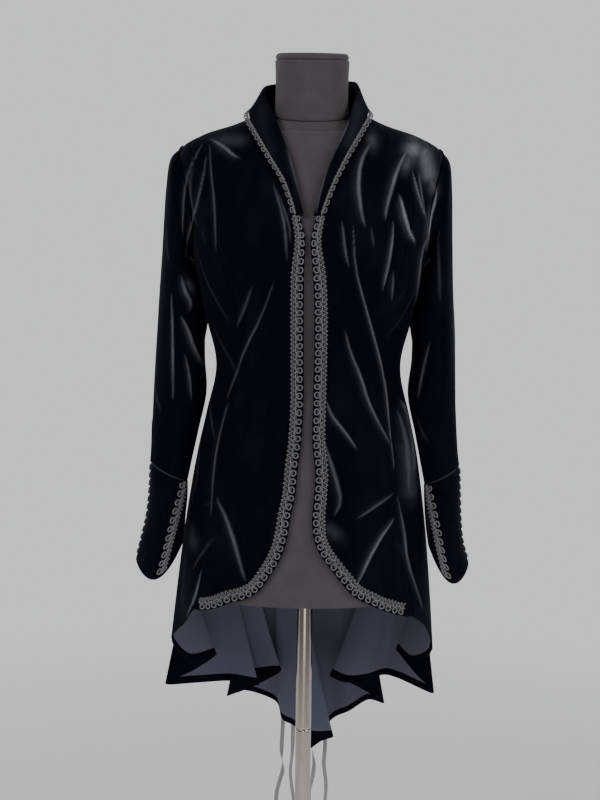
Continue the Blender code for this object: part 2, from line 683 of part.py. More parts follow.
def cuff_face(side, turn, share):
    """The cuff's outer face at a turn in radians and a share of its length."""
    turn, share = np.broadcast_arrays(np.asarray(turn, float), np.asarray(share, float))
    rows = spline(np.linspace(0, 1, len(CUFF)), np.array(CUFF), share)
    left, right, outer_z, inner_left, inner_right, inner_z, middle_y, depth, front, back = np.moveaxis(rows, -1, 0)
    outer = side * (right if side > 0 else left)
    inner = side * (inner_right if side > 0 else inner_left)
    across, along = np.sin(turn), np.cos(turn)
    x = (outer + inner) / 2 + along * (outer - inner) / 2
    z = (outer_z + inner_z) / 2 + along * (outer_z - inner_z) / 2
    z = z - np.where(across > 0, front, back) * across**2
    return np.stack([x, middle_y - across * depth, z], -1)


def cuff(name, side):
    turns = ring_turns()
    turn, share = np.meshgrid(turns, np.linspace(0, 1, len(CUFF)))
    outer = cuff_face(side, turn, share)
    outer[:, -1] = outer[:, 0]
    inner = outer - grid_normals(outer) * WALL
    outer[0, :, 2] -= SEAM_GAP
    inner[0, :, 2] -= SEAM_GAP
    return wall(name, outer, inner, "velvet", around=True)


def nape_height(angle):
    """The back neckline's height at an angle, from the shoulder seams up to centre back."""
    return NAPE_LOW + NAPE_RISE * math.sin(abs(abs(angle) - math.pi / 2))


def collar_place(place):
    """A roll or edge point: given whole, or lifted off the body's front."""
    x, y, z = place
    if y is not None:
        return np.array(place)
    face, normal = front_face(np.array([x]), np.array([z]))
    return (face + normal * COLLAR_LIFT)[0]


def collar_seam(side, where):
    """A point of the collar's seam, just inside the neckline of the back or the front."""
    if where > 2:
        angle = side * math.radians(where)
        height = nape_height(angle)
        face, normal = body(angle, height), body_normal(angle, height)
        normal = normal * math.copysign(1, normal @ (face * (1, 1, 0)))
        return face - normal * WALL / 2 + np.array([0, 0, COLLAR_SEAM_GAP])
    neck = np.array(NECKLINE_RIGHT if side > 0 else NECKLINE_LEFT)[::-1]
    x = np.interp(where, neck[:, 1], neck[:, 0]) - side * COLLAR_SEAM_GAP
    face, normal = front_face(np.array([x]), np.array([where]))
    return (face - normal * WALL / 2)[0]


def collar_lines():
    """The seam, roll and edge lines, from the left break round the neck to the right one."""
    rows = [(-1, row) for row in reversed(COLLAR_LEFT)]
    rows += [(1, row) for row in COLLAR_BACK + COLLAR_RIGHT]
    seam = [collar_seam(side, row[0]) for side, row in rows]
    return np.array(seam), *(np.array([collar_place(row[n]) for _, row in rows]) for n in (1, 2))


COLLAR_LINES = []


def collar_face(along, across):
    """The collar's middle face: along 0 to 1 from break to break, across 0 to 1 from seam to edge."""
    if not COLLAR_LINES:
        COLLAR_LINES.extend(collar_lines())
    along, across = np.broadcast_arrays(np.asarray(along, float), np.asarray(across, float))
    lines = COLLAR_LINES
    ends = np.linspace(0, 1, len(lines[1]))
    seam, roll, edge = (spline(ends, line, along) for line in lines)
    crown = unit(roll - (seam + edge) / 2)
    ahead = spline(ends, lines[1], along + COLLAR_STEP) - spline(ends, lines[1], along - COLLAR_STEP)
    over = unit(np.cross(crown, ahead)) * ROLL_HALF
    drop = crown * ROLL_DROP
    stops = [seam, roll - over - drop, roll, roll + over - drop, edge]
    knots = np.array(ROLL_STOPS)
    i = np.clip(np.searchsorted(knots, across, side="right") - 1, 0, 3)
    share = ((across - knots[i]) / (knots[i + 1] - knots[i]))[..., None]
    stops = np.stack(stops)
    first = np.take_along_axis(stops, i[None, ..., None], 0)[0]
    last = np.take_along_axis(stops, i[None, ..., None] + 1, 0)[0]
    return first + (last - first) * share


def collar_stops(side, dense=400):
    """Shares along the collar's edge from its break to centre back, one for each place of a gimp's loops."""
    shares = np.linspace(*COLLAR_SPAN[1:], dense)
    shares = 1 - shares if side > 0 else shares
    path = collar_face(shares, 1.0)
    steps = np.concatenate([[0], np.cumsum(np.linalg.norm(np.diff(path, axis=0), axis=1))])
    count = round(steps[-1] / GIMP_PITCH)
    return np.interp(np.linspace(0, steps[-1], count + 1), steps, shares), steps[-1]


def collar(name):
    rows = np.concatenate([collar_stops(-1)[0], [0.5], collar_stops(1)[0][::-1]])
    rows = np.concatenate([[COLLAR_SPAN[0]], rows, [1 - COLLAR_SPAN[0]]])
    share, over = np.meshgrid(rows, COLLAR_ACROSS, indexing="ij")
    middle = collar_face(share, over)
    lift = unit(np.cross(np.gradient(middle, axis=0), np.gradient(middle, axis=1))) * WALL / 2
    return wall(name, middle + lift, middle - lift, "velvet")


def scalloped(length, band):
    """A flat strip of gimp along +X: a band with a row of loops, each cut through."""
    count = max(2, round(length / GIMP_PITCH))
    pitch = length / count
    mesh = bmesh.new()
    bmesh.ops.create_grid(mesh, x_segments=count, y_segments=1, size=1)
    for vert in mesh.verts:
        vert.co.x = (vert.co.x + 1) / 2 * length
        vert.co.y = (vert.co.y + 1) / 2 * band
    tops = [e for e in mesh.edges if all(v.co.y > band / 2 for v in e.verts)]
    loops = []
    for edge in tops:
        middle = (edge.verts[0].co.x + edge.verts[1].co.x) / 2
        made = bmesh.ops.extrude_edge_only(mesh, edges=[edge])["geom"]
        for vert in (v for v in made if isinstance(v, bmesh.types.BMVert)):
            vert.co.x = middle + math.copysign(pitch * LOOP_TIP / 2, vert.co.x - middle)
            vert.co.y = band + LOOP_LENGTH
        loops += [f for f in made if isinstance(f, bmesh.types.BMFace)]
    mesh.normal_update()
    bmesh.ops.inset_individual(mesh, faces=loops, thickness=LOOP_RIM, use_even_offset=True)
    bmesh.ops.delete(mesh, geom=loops, context="FACES")
    thickened(mesh)
    return mesh


def gimp(name, length, place, under=None, lift=0.0, band=GIMP_BAND):
    """Gimp laid on a face. place gives the face's point and normal for arrays of distances along and across."""
    mesh = scalloped(length, band)
    flat = np.array([v.co for v in mesh.verts])
    points, normals = place(flat[:, 0], flat[:, 1])
    if under:
        points = laid(tree_over([under]), points, normals)
    level = LAY_GAP + lift + (1 - np.round(flat[:, 2:])) * GIMP_THICK
    for vert, co in zip(mesh.verts, points + normals * level):
        vert.co = co
    return finish(mesh, name, "gimp", smooth=False)


def path_length(points):
    return np.linalg.norm(np.diff(points, axis=0), axis=1).sum()


def at_length(points, distance, reach=0.008):
    """Points and directions at distances along a path of dense points."""
    steps = np.concatenate([[0], np.cumsum(np.linalg.norm(np.diff(points, axis=0), axis=1))])

    def at(where):
        return np.stack([np.interp(where, steps, points[:, n]) for n in range(3)], -1)

    return at(distance), unit(at(distance + reach) - at(distance - reach))


def front_face(x, height):
    angle = front_angle(x, height)
    normal = body_normal(angle, height)
    return body(angle, height), normal * np.where(normal[..., 1:2] < 0, 1, -1)


def front_gimp(name, side):
    angles, heights = front_border(side)[NECK_ROWS - 1:].T
    corners = body(angles, heights)
    steps = np.concatenate([[0], np.cumsum(np.linalg.norm(np.diff(corners, axis=0), axis=1))])
    dense = np.linspace(steps[-1] * GIMP_SPAN[0], steps[-1] * GIMP_SPAN[1], 300)
    path = np.stack([np.interp(dense, steps, corners[:, n]) for n in range(3)], -1)

    def place(along, across):
        point, forward = at_length(path, along)
        normal = front_face(point[:, 0], point[:, 2])[1]
        inward = unit(np.cross(normal, forward))
        inward = inward * np.sign((inward * (side, 0, 0)).sum())
        point = point + inward * (GIMP_WIDTH + GIMP_INSET - across)[:, None]
        return front_face(point[:, 0], point[:, 2])

    return gimp(name, path_length(path), place, name.replace("gimp_", ""))


def collar_gimp(name, side):
    """Gimp sewn edge to edge with the collar, with its loops past it, clear of the shoulder below them."""
    stops, length = collar_stops(side)
    word = name.rpartition("_")[2]
    shoulder = tree_over([f"front_{word}", f"back_{word}"])

    def place(along, across):
        share = np.interp(along, np.linspace(0, length, len(stops)), stops)
        edge = collar_face(share, COLLAR_ACROSS[-1])
        over = unit(edge - collar_face(share, FALL_SHARE))
        after, before = (collar_face(share + step, COLLAR_ACROSS[-1]) for step in (COLLAR_STEP, -COLLAR_STEP))
        ahead = after - before
        up = unit(np.cross(ahead, over))
        point = edge + over * (across + COLLAR_TRIM_GAP)[:, None] - up * (LAY_GAP + GIMP_THICK / 2)
        for n in np.flatnonzero(point[:, 2] > SHOULDER_LOW):
            hit = shoulder.ray_cast(Vector(point[n] + (0, 0, 0.02)), Vector((0, 0, -1)), 0.04)[0]
            if hit is not None:
                point[n, 2] = max(point[n, 2], hit.z + SHOULDER_GAP)
        return point, up

    return gimp(name, length, place, band=COLLAR_BAND)


def cuff_gimp(name, side, top, bottom, first, last, loops):
    stops = np.linspace(first, last, 60)
    turns = np.radians(top + (bottom - top) * stops)
    path = cuff_face(side, turns, stops)

    def place(along, across):
        share = np.interp(along, np.linspace(0, path_length(path), len(stops)), stops)
        turn = np.radians(top + (bottom - top) * share)
        small = 0.01
        rate = np.linalg.norm(cuff_face(side, turn + small, share) - cuff_face(side, turn - small, share), axis=1)
        turn = turn + loops * (across - GIMP_WIDTH / 2) * 2 * small / rate
        point = cuff_face(side, turn, share)
        round_it = cuff_face(side, turn + small, share) - cuff_face(side, turn - small, share)
        down = cuff_face(side, turn, share + small) - cuff_face(side, turn, share - small)
        normal = unit(np.cross(round_it, down))
        centre = cuff_face(side, turn + math.pi, share) / 2 + point / 2
        return point, normal * np.where(((point - centre) * normal).sum(-1, keepdims=True) > 0, 1, -1)

    return gimp(name, path_length(path), place, f"cuff_{name.rpartition('_')[2]}", CUFF_LAY)


def form_torso():
    """The dress form's body, inside the jacket's wall, closed by its flat base and its neck seat."""
    tree = tree_over([o.name for o in bpy.data.objects if o.name.startswith(("back_", "front_", "side_"))])
    turn = np.linspace(0, math.tau, FORM_SIDES + 1)
    rings = []
    for z, clear in FORM_ROWS:
        face, normal = body(turn, z), body_normal(turn, z)
        rings.append(seated(tree, face - normal * (WALL + FORM_START), normal, clear, FORM_START))
    for z, half, front, back, tilt in FORM_NECK:
        y = -np.where(np.cos(turn) > 0, front, back) * np.cos(turn)
        start = np.stack([half * np.sin(turn), y, z + y * math.tan(math.radians(tilt))], -1)
        out = unit(unit(start * (1, 1, 0)) + (0, 0, FORM_UP))
        rings.append(seated(tree, start, out, SEAT_GAP, 0.0))
    rings = np.array(rings)
    rings[0, :, 2] = FORM_BOTTOM
    return capped("form_torso", rings, "jersey")


def seated(tree, start, out, clear, most):
    """Points moved out from a start by about a given way, and kept clear of the wall met there."""
    made = start.copy()
    for n, (point, way) in enumerate(zip(start, out)):
        distance = tree.ray_cast(Vector(point), Vector(way), FORM_START * 2)[3]
        room = most if distance is None else distance
        made[n] = point + way * min(room - clear, max(most * FORM_STRETCH - clear, 0.0))
    return made


def capped(name, rings, look):
    """A closed solid through a stack of rings, whose last column is its first."""
    rows, columns = rings.shape[0] - 1, rings.shape[1] - 1
    mesh = bmesh.new()
    bmesh.ops.create_grid(mesh, x_segments=columns, y_segments=rows, size=1)
    for vert in mesh.verts:
        i, j = round((vert.co.x + 1) / 2 * columns), round((vert.co.y + 1) / 2 * rows)
        vert.co = rings[j, i % columns]
    bmesh.ops.remove_doubles(mesh, verts=mesh.verts, dist=1e-6)
    bmesh.ops.holes_fill(mesh, edges=mesh.edges)
    return finish(mesh, name, look)


def disc_rings(profile, sides, tilts=None):
    """Rings round the Z axis for a profile of radius and height, each tilted forward by its own angle."""
    turn = np.linspace(0, math.tau, sides + 1)
    tilts = tilts or [0] * len(profile)
    rows = []
    for (radius, z), tilt in zip(profile, tilts):
        y = radius * np.sin(turn)
        rows.append(np.stack([radius * np.cos(turn), y, z + y * math.tan(tilt)], -1))
    return np.array(rows)


def form_neck():
    base = NECK_BASE + SEAM_GAP
    rings = disc_rings(((NECK_RADIUS, base), (NECK_RADIUS, NECK_TOP)), 20, (NECK_TILT, CAP_TILT))
    capped("form_neck", rings, "jersey")
    low = NECK_TOP + SEAM_GAP
    radius = NECK_RADIUS - CAP_INSET
    profile = ((radius, low), (radius, low + CAP_HEIGHT * 0.6), (radius - CAP_BEVEL, low + CAP_HEIGHT))
    capped("form_cap", disc_rings(profile, 20, [CAP_TILT] * 3), "jersey")


def stand():
    top = FORM_BOTTOM - SEAM_GAP
    capped("pole_upper", disc_rings(((POLE_RADIUS, POLE_JOINT + SEAM_GAP), (POLE_RADIUS, top)), 16), "chrome")
    capped("pole_lower", disc_rings(((POLE_RADIUS, HUB_TOP + SEAM_GAP), (POLE_RADIUS, POLE_JOINT)), 16), "chrome")
    profile = (
        (BASE_RADIUS, 0.0),
        (BASE_RADIUS, BASE_THICK * 0.6),
        (BASE_RADIUS - BASE_BEVEL, BASE_THICK),
        (HUB_RADIUS + HUB_BEVEL, BASE_THICK + HUB_BEVEL),
        (HUB_RADIUS, BASE_THICK + HUB_BEVEL * 2.5),
        (HUB_RADIUS, HUB_TOP - HUB_BEVEL),
        (HUB_RADIUS - HUB_BEVEL, HUB_TOP),
    )
    capped("base", disc_rings(profile, 28), "chrome")


def behind(tree, x, height, reach=0.03):
    """The furthest y of the back within a ribbon's width and a little above and below, if it is there at all."""
    found = []
    for dx in (-RIBBON_WIDTH / 2, 0, RIBBON_WIDTH / 2):
        for dz in (-reach, -reach / 2, 0, reach / 2, reach):
            hit = tree.ray_cast(Vector((x + dx, 0.6, height + dz)), Vector((0, -1, 0)), 0.6)[0]
            if hit is not None:
                found.append(hit.y)
    return max(found, default=None)


def ribbon_path(tree, knot_x, hem_x, end_x, end_z, sway):
    """A ribbon's middle line: down the tail from the knot, then straight down from the hem."""
    tail = float(hem_point(SEAM_STOPS["centre_back"])[2])
    top = KNOT_HEIGHT - KNOT_SIZE[2] / 2 - RIBBON_CLEAR
    hang_y = 0.0
    points = []
    for z in np.linspace(top, tail, 15):
        share = (top - z) / (top - tail)
        x = knot_x + (hem_x - knot_x) * share
        face = behind(tree, x, z)
        hang_y = hang_y if face is None else face + RIBBON_GAP
        points.append((x, hang_y, z))
    for z in np.linspace(tail - 0.03, end_z, 5):
        share = (tail - z) / (tail - end_z)
        x = hem_x + (end_x - hem_x) * share + sway * math.sin(share * math.tau)
        points.append((x, hang_y, z))
    return np.array(points)


def strip(name, path, across, normals, width=RIBBON_WIDTH, thick=RIBBON_THICK):
    """A flat ribbon along a path, with its width across and its thickness along the normals."""
    edges = np.stack([path - across * width / 2, path + across * width / 2], 1)
    lift = normals[:, None] * thick / 2
    return wall(name, edges + lift, edges - lift, "satin")


def ribbons():
    tree = tree_over(["back_left", "back_right"])
    for number, row in enumerate(RIBBONS, 1):
        path = ribbon_path(tree, *row)
        across = np.tile([1.0, 0.0, 0.0], (len(path), 1))
        forward = unit(np.gradient(path, axis=0))
        strip(f"ribbon_{number}", path, across, unit(np.cross(forward, across)))
    mesh = bmesh.new()
    bmesh.ops.create_cube(mesh, size=1)
    for vert in mesh.verts:
        vert.co = [c * s for c, s in zip(vert.co, KNOT_SIZE)]
    bmesh.ops.bevel(mesh, geom=mesh.edges[:], offset=KNOT_BEVEL, segments=1, affect="EDGES")
    knot_y = behind(tree, 0, KNOT_HEIGHT, KNOT_SIZE[2] / 2) + SEAM_GAP + KNOT_SIZE[1] / 2
    bmesh.ops.translate(mesh, verts=mesh.verts, vec=(0, knot_y, KNOT_HEIGHT))
    finish(mesh, "ribbon_knot", "satin")
    for name, side in (("tie_left", -1), ("tie_right", 1)):
        seam = -float(seam_angle("back_left", KNOT_HEIGHT))
        start = math.pi - (KNOT_SIZE[0] / 2 + RIBBON_CLEAR) / float(body(math.pi / 2, KNOT_HEIGHT)[0])
        angles = np.linspace(start, seam, 7) * side
        face, normal = body(angles, KNOT_HEIGHT), body_normal(angles, KNOT_HEIGHT)
        path = face + normal * (TIE_GAP + RIBBON_THICK / 2)
        strip(name, path, np.tile([0.0, 0.0, 1.0], (len(path), 1)), normal)


def jacket():
    for side, word in ((-1, "left"), (1, "right")):
        front_panel(f"front_{word}", side, 4)
        sleeve(f"sleeve_{word}", side)
        cuff(f"cuff_{word}", side)
        back_panel(f"back_{word}", side)
        front_gimp(f"gimp_front_{word}", side)
        for trim, *row in CUFF_TRIMS:
            cuff_gimp(f"gimp_cuff_{trim}_{word}", side, *row)
    side_panel("side_front_left", seam_border("princess_left"), side_border(-1, True))
    side_panel("side_back_left", side_border(-1, False), seam_border("back_left"))
    side_panel("side_back_right", seam_border("back_right"), side_border(1, False))
    side_panel("side_front_right", side_border(1, True), seam_border("princess_right"))
    collar("collar")
    for side, word in ((-1, "left"), (1, "right")):
        collar_gimp(f"gimp_collar_{word}", side)


def main():
    for thing in list(bpy.data.objects):
        bpy.data.objects.remove(thing)
    jacket()
    ribbons()
    form_torso()
    form_neck()
    stand()


main()
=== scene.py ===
# Gothic victorian jacket on a limbless dress form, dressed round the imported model.
# Metres throughout: +X to the right as seen from the front, -Y to the front, +Z up.
import math

import bmesh
import bpy
import numpy as np
from mathutils import Matrix, Vector
from mathutils.bvhtree import BVHTree


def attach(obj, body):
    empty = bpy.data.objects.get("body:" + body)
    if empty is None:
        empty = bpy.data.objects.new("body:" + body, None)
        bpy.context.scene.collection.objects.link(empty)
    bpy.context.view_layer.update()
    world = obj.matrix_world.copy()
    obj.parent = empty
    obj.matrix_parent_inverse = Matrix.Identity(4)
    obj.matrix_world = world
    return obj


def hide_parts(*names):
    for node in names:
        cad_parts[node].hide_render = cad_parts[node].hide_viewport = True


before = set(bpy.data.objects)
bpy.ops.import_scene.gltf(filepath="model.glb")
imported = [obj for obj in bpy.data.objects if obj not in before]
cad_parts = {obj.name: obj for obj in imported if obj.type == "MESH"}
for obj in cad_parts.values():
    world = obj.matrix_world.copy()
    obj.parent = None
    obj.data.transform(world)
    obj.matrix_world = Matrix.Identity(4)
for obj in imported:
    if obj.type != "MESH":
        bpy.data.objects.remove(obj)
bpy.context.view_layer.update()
print("frame loaded:", len(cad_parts), "nodes")


# The camera stands where the photograph was taken from
camera = {
    "place": (-0.0113, -2.0, 1.204), "tilt": 84.4, "roll": 0.755,
    "lens": 62.1, "sensor": 36, "frame": (600, 800),
}


def cameraTurn():
    tilt, roll = math.radians(camera["tilt"]), math.radians(camera["roll"])
    return Matrix.Rotation(tilt, 4, "X") @ Matrix.Rotation(roll, 4, "Z")


def setCamera():
    data = bpy.data.cameras.new("camera")
    data.lens = camera["lens"]
    data.sensor_width = camera["sensor"]
    made = bpy.data.objects.new("camera", data)
    bpy.context.scene.collection.objects.link(made)
    made.matrix_world = Matrix.Translation(camera["place"]) @ cameraTurn()
    bpy.context.scene.camera = made


setCamera()
print("camera set")


def pictured(points):
    # where points come in the photograph, in its pixels
    seen = (points - np.array(camera["place"])) @ np.array(cameraTurn().to_3x3())
    wide, high = camera["frame"]
    focus = camera["lens"] / camera["sensor"] * high
    x, y, depth = np.moveaxis(seen, -1, 0)
    return np.stack([wide / 2 - focus * x / depth, high / 2 + focus * y / depth], -1)


# Curves and rows
def slopesOf(knots, values):
    steps = np.diff(knots).reshape(-1, *[1] * (values.ndim - 1))
    rise = np.diff(values, axis=0) / steps
    return np.concatenate([rise[:1], (rise[1:] + rise[:-1]) / 2, rise[-1:]])


def spline(knots, values, at):
    knots, values = np.asarray(knots, float), np.asarray(values, float)
    at = np.clip(np.asarray(at, float), knots[0], knots[-1])
    slopes = slopesOf(knots, values)
    i = np.clip(np.searchsorted(knots, at, side="right") - 1, 0, len(knots) - 2)
    step = knots[i + 1] - knots[i]
    t = (at - knots[i]) / step
    if values.ndim > 1:
        step, t = step[..., None], t[..., None]
    start = (2 * t**3 - 3 * t**2 + 1) * values[i] + (t**3 - 2 * t**2 + t) * step * slopes[i]
    end = (3 * t**2 - 2 * t**3) * values[i + 1] + (t**3 - t**2) * step * slopes[i + 1]
    return start + end


def through(values, count):
    # a path of count rows, smooth through a short list of rows
    flat = np.asarray(values, float)
    rows = spline(range(len(flat)), flat.reshape(len(flat), -1), np.linspace(0, len(flat) - 1, count))
    return rows.reshape(count, *flat.shape[1:])


def unit(vectors):
    return vectors / np.maximum(np.linalg.norm(vectors, axis=-1, keepdims=True), 1e-12)


def lengthsOf(path):
    return np.concatenate([[0], np.cumsum(np.linalg.norm(np.diff(path, axis=0), axis=1))])


def gridLengths(grid, axis):
    # how far each point of a grid lies from the start of its row (1) or column (0)
    steps = np.cumsum(np.linalg.norm(np.diff(grid, axis=axis), axis=2), axis=axis)
    return np.insert(steps, 0, 0, axis=axis)


# Materials
class Wire:
    # a socket that takes part in sums, so 1 - mask * 0.5 adds its own Math nodes
    def __init__(self, look, socket):
        self.look, self.socket = look, socket

    def sum(self, operation, *values):
        return self.look.node("ShaderNodeMath", {"operation": operation}, dict(enumerate(values)))

    def __add__(self, other):
        return self.sum("ADD", self, other)

    def __sub__(self, other):
        return self.sum("SUBTRACT", self, other)

    def __rsub__(self, other):
        return self.sum("SUBTRACT", other, self)

    def __mul__(self, other):
        return self.sum("MULTIPLY", self, other)

    __radd__ = __add__
    __rmul__ = __mul__


class Look:
    def __init__(self, owner, fixed, shader="Principled BSDF"):
        self.owner = owner
        owner.use_nodes = True
        self.tree = owner.node_tree
        self.shader = self.tree.nodes[shader]
        for socket, value in fixed.items():
            self.shader.inputs[socket].default_value = value

    def feed(self, socket, value):
        if isinstance(value, Wire):
            self.tree.links.new(value.socket, socket)
        else:
            socket.default_value = value

    def node(self, kind, settings, sockets, out=0):
        made = self.tree.nodes.new(kind)
        for name, value in settings.items():
            if name == "stops":
                for stop, (place, colour) in zip(made.color_ramp.elements, value):
                    stop.position, stop.color = place, colour
            else:
                setattr(made, name, value)
        for name, value in sockets.items():
            self.feed(made.inputs[name], value)
        return Wire(self, made.outputs[out])

    def place(self, kind, scale=(1, 1, 1)):
        here = self.node("ShaderNodeTexCoord", {}, {}, kind)
        return self.node("ShaderNodeMapping", {}, {"Vector": here, "Scale": scale})

    def noise(self, where, scale, detail=2.0, rough=0.5):
        sockets = {"Vector": where, "Scale": scale, "Detail": detail, "Roughness": rough}
        return self.node("ShaderNodeTexNoise", {}, sockets)

    def ramp(self, value, low, high):
        stops = ((low, (0, 0, 0, 1)), (high, (1, 1, 1, 1)))
        return self.node("ShaderNodeValToRGB", {"stops": stops}, {"Fac": value})

    def mix(self, factor, first, second):
        return self.node("ShaderNodeMix", {"data_type": "RGBA"}, {0: factor, 6: first, 7: second}, 2)

    def bump(self, height, strength, distance):
        return self.node("ShaderNodeBump", {}, {"Height": height, "Strength": strength, "Distance": distance})

    def finish(self, **sockets):
        for name, value in sockets.items():
            self.feed(self.shader.inputs[name.replace("_", " ")], value)
        return self.owner


# crest is the colour of the painted highlight on the folds' crests and painted sheen patches; a stretched noise
# makes that painted highlight patchy
velvet = {
    "deep": (0.0009, 0.0012, 0.0050, 1), "crush": (0.0046, 0.0049, 0.0108, 1),
    "crest": (0.215, 0.218, 0.262, 1), "tint": (0.5, 0.54, 0.7, 1),
    "patches": 22, "pile": 1400, "highlightNoise": 180, "lumps": 320, "rough": 0.92,
}


def velvetLook():
    look = Look(bpy.data.materials.new("velvet"), {
        "Sheen Weight": 0.035, "Sheen Roughness": 0.35, "Sheen Tint": velvet["tint"],
        "Specular IOR Level": 0.05,
    })
    where = look.place("Object", (1, 1, 0.4))
    crush = look.ramp(look.noise(where, velvet["patches"], 5, 0.65), 0.45, 0.75)
    pile = look.noise(look.place("Object"), velvet["pile"], 2, 0.6)
    highlightNoise = look.noise(look.place("Object", (1, 1, 0.3)), velvet["highlightNoise"], 4, 0.7)
    # the crest attribute is painted highlight: the colour turns light where lamps would catch the nap
    lit = look.node("ShaderNodeAttribute", {"attribute_name": "crest"}, {}, "Fac")
    colour = look.mix(crush * 0.7 + pile * 0.3, velvet["deep"], velvet["crush"])
    colour = look.mix(lit * (0.45 + highlightNoise * 0.9), colour, velvet["crest"])
    height = pile + look.noise(look.place("Object"), velvet["lumps"], 3, 0.6) * 0.8
    rough = velvet["rough"] - crush * 0.1
    return look.finish(Base_Color=colour, Roughness=rough, Normal=look.bump(height, 0.35, 0.0006))


backing = {"dark": (0.064, 0.067, 0.100, 1), "light": (0.104, 0.108, 0.150, 1), "stitches": 640, "clouds": 9}


def backingLook():
    look = Look(bpy.data.materials.new("knit_backing"), {
        "Sheen Weight": 0.1, "Sheen Roughness": 0.6, "Specular IOR Level": 0.1,
    })
    where = look.place("UV", (1, 1.35, 1))
    stitches = look.node("ShaderNodeTexVoronoi", {}, {"Vector": where, "Scale": backing["stitches"]})
    broad = look.noise(look.place("Object"), backing["clouds"], 3)
    colour = look.mix(broad * 0.8 + stitches * 0.25, backing["light"], backing["dark"])
    return look.finish(Base_Color=colour, Roughness=0.9 - broad * 0.1, Normal=look.bump(stitches, 0.25, 0.0004))


# turns is the twist of the cord's ply, in radians a metre
cordStuff = {"dark": (0.014, 0.014, 0.017, 1), "light": (0.285, 0.285, 0.300, 1), "turns": 4200, "soft": 700}


def cordLook():
    look = Look(bpy.data.materials.new("gimp_cord"), {
        "Sheen Weight": 0.05, "Sheen Roughness": 0.4, "Specular IOR Level": 0.3,
    })
    here = look.node("ShaderNodeSeparateXYZ", {}, {"Vector": look.place("UV")}).socket.node
    turned = Wire(look, here.outputs[0]) * cordStuff["turns"] + Wire(look, here.outputs[1]) * math.tau
    ply = turned.sum("SINE", turned) * 0.5 + 0.5
    soft = look.noise(look.place("Object"), cordStuff["soft"], 2)
    # the ply stripes are partly the cord's own black and grey, partly painted shade in its grooves and painted
    # highlight on its ridges; the soft noise is the cord's own uneven tone
    colour = look.mix(ply * 0.7 + soft * 0.3, cordStuff["dark"], cordStuff["light"])
    return look.finish(Base_Color=colour, Roughness=0.55 + soft * 0.2, Normal=look.bump(ply, 0.6, 0.0004))


jersey = {"dark": (0.055, 0.048, 0.053, 1), "light": (0.092, 0.080, 0.089, 1), "knit": 760, "soft": 40}


def jerseyLook():
    look = Look(bpy.data.materials.new("jersey"), {
        "Sheen Weight": 0.12, "Sheen Roughness": 0.5, "Specular IOR Level": 0.1,
    })
    where = look.place("Object", (1, 1, 0.7))
    knit = look.node("ShaderNodeTexVoronoi", {}, {"Vector": where, "Scale": jersey["knit"]})
    soft = look.noise(look.place("Object"), jersey["soft"], 4)
    colour = look.mix(soft * 0.8 + knit * 0.3, jersey["dark"], jersey["light"])
    bump = look.bump(knit + soft * 0.3, 0.22, 0.0005)
    return look.finish(Base_Color=colour, Roughness=0.95 - soft * 0.08, Normal=bump)


satin = {"dark": (0.17, 0.17, 0.175, 1), "light": (0.30, 0.30, 0.31, 1), "threads": 900, "slubs": 2600}


def satinLook():
    look = Look(bpy.data.materials.new("satin"), {
        "Sheen Weight": 0.1, "Specular IOR Level": 0.5, "Anisotropic": 0.5,
    })
    threads = look.noise(look.place("UV", (1, 14, 1)), satin["threads"], 2)
    slubs = look.noise(look.place("UV", (1, 0.08, 1)), satin["slubs"], 3)
    colour = look.mix(threads * 0.6 + slubs * 0.4, satin["dark"], satin["light"])
    bump = look.bump(threads + slubs, 0.2, 0.0002)
    return look.finish(Base_Color=colour, Roughness=0.34 + threads * 0.12, Normal=bump)


chrome = {"bright": (0.43, 0.385, 0.36, 1), "dull": (0.30, 0.27, 0.25, 1), "wear": 90, "smears": 600}


def chromeLook():
    look = Look(bpy.data.materials.new("chrome"), {"Metallic": 1.0, "Specular Tint": (1, 1, 1, 1)})
    wear = look.noise(look.place("Object", (1, 1, 0.25)), chrome["wear"], 5, 0.6)
    smears = look.noise(look.place("Object", (1, 1, 0.04)), chrome["smears"], 3)
    colour = look.mix(look.ramp(wear, 0.5, 0.8) * 0.7 + smears * 0.3, chrome["bright"], chrome["dull"])
    return look.finish(Base_Color=colour, Roughness=0.12 + wear * 0.12)


looks = {
    "velvet": velvetLook(), "backing": backingLook(), "cord": cordLook(),
    "jersey": jerseyLook(), "satin": satinLook(), "chrome": chromeLook(),
}
print("materials made")


# Meshes from grids of points
def gridInto(mesh, rows, columns, step=1, level=0):
    # a flat grid whose corners are numbered by their places
    made = bmesh.ops.create_grid(mesh, x_segments=columns // step, y_segments=rows // step, size=1)["verts"]
    for vert in made:
        i, j = (round((c + 1) / 2 * n / step) * step for c, n in zip(vert.co, (columns, rows)))
        vert.co = (i, j, level)


def latticeMesh(rows, columns):
    mesh = bmesh.new()
    gridInto(mesh, rows, columns)
    return mesh


def addPiece(mesh, name, materials):
    if mesh.calc_volume(signed=True) < 0:
        bmesh.ops.reverse_faces(mesh, faces=mesh.faces)
    data = bpy.data.meshes.new(name)
    mesh.to_mesh(data)
    mesh.free()
    data.shade_smooth()
    data.set_sharp_from_angle(angle=math.radians(60))
    for look in materials:
        data.materials.append(looks[look])
    made = bpy.data.objects.new(name, data)
    bpy.context.scene.collection.objects.link(made)
    return made


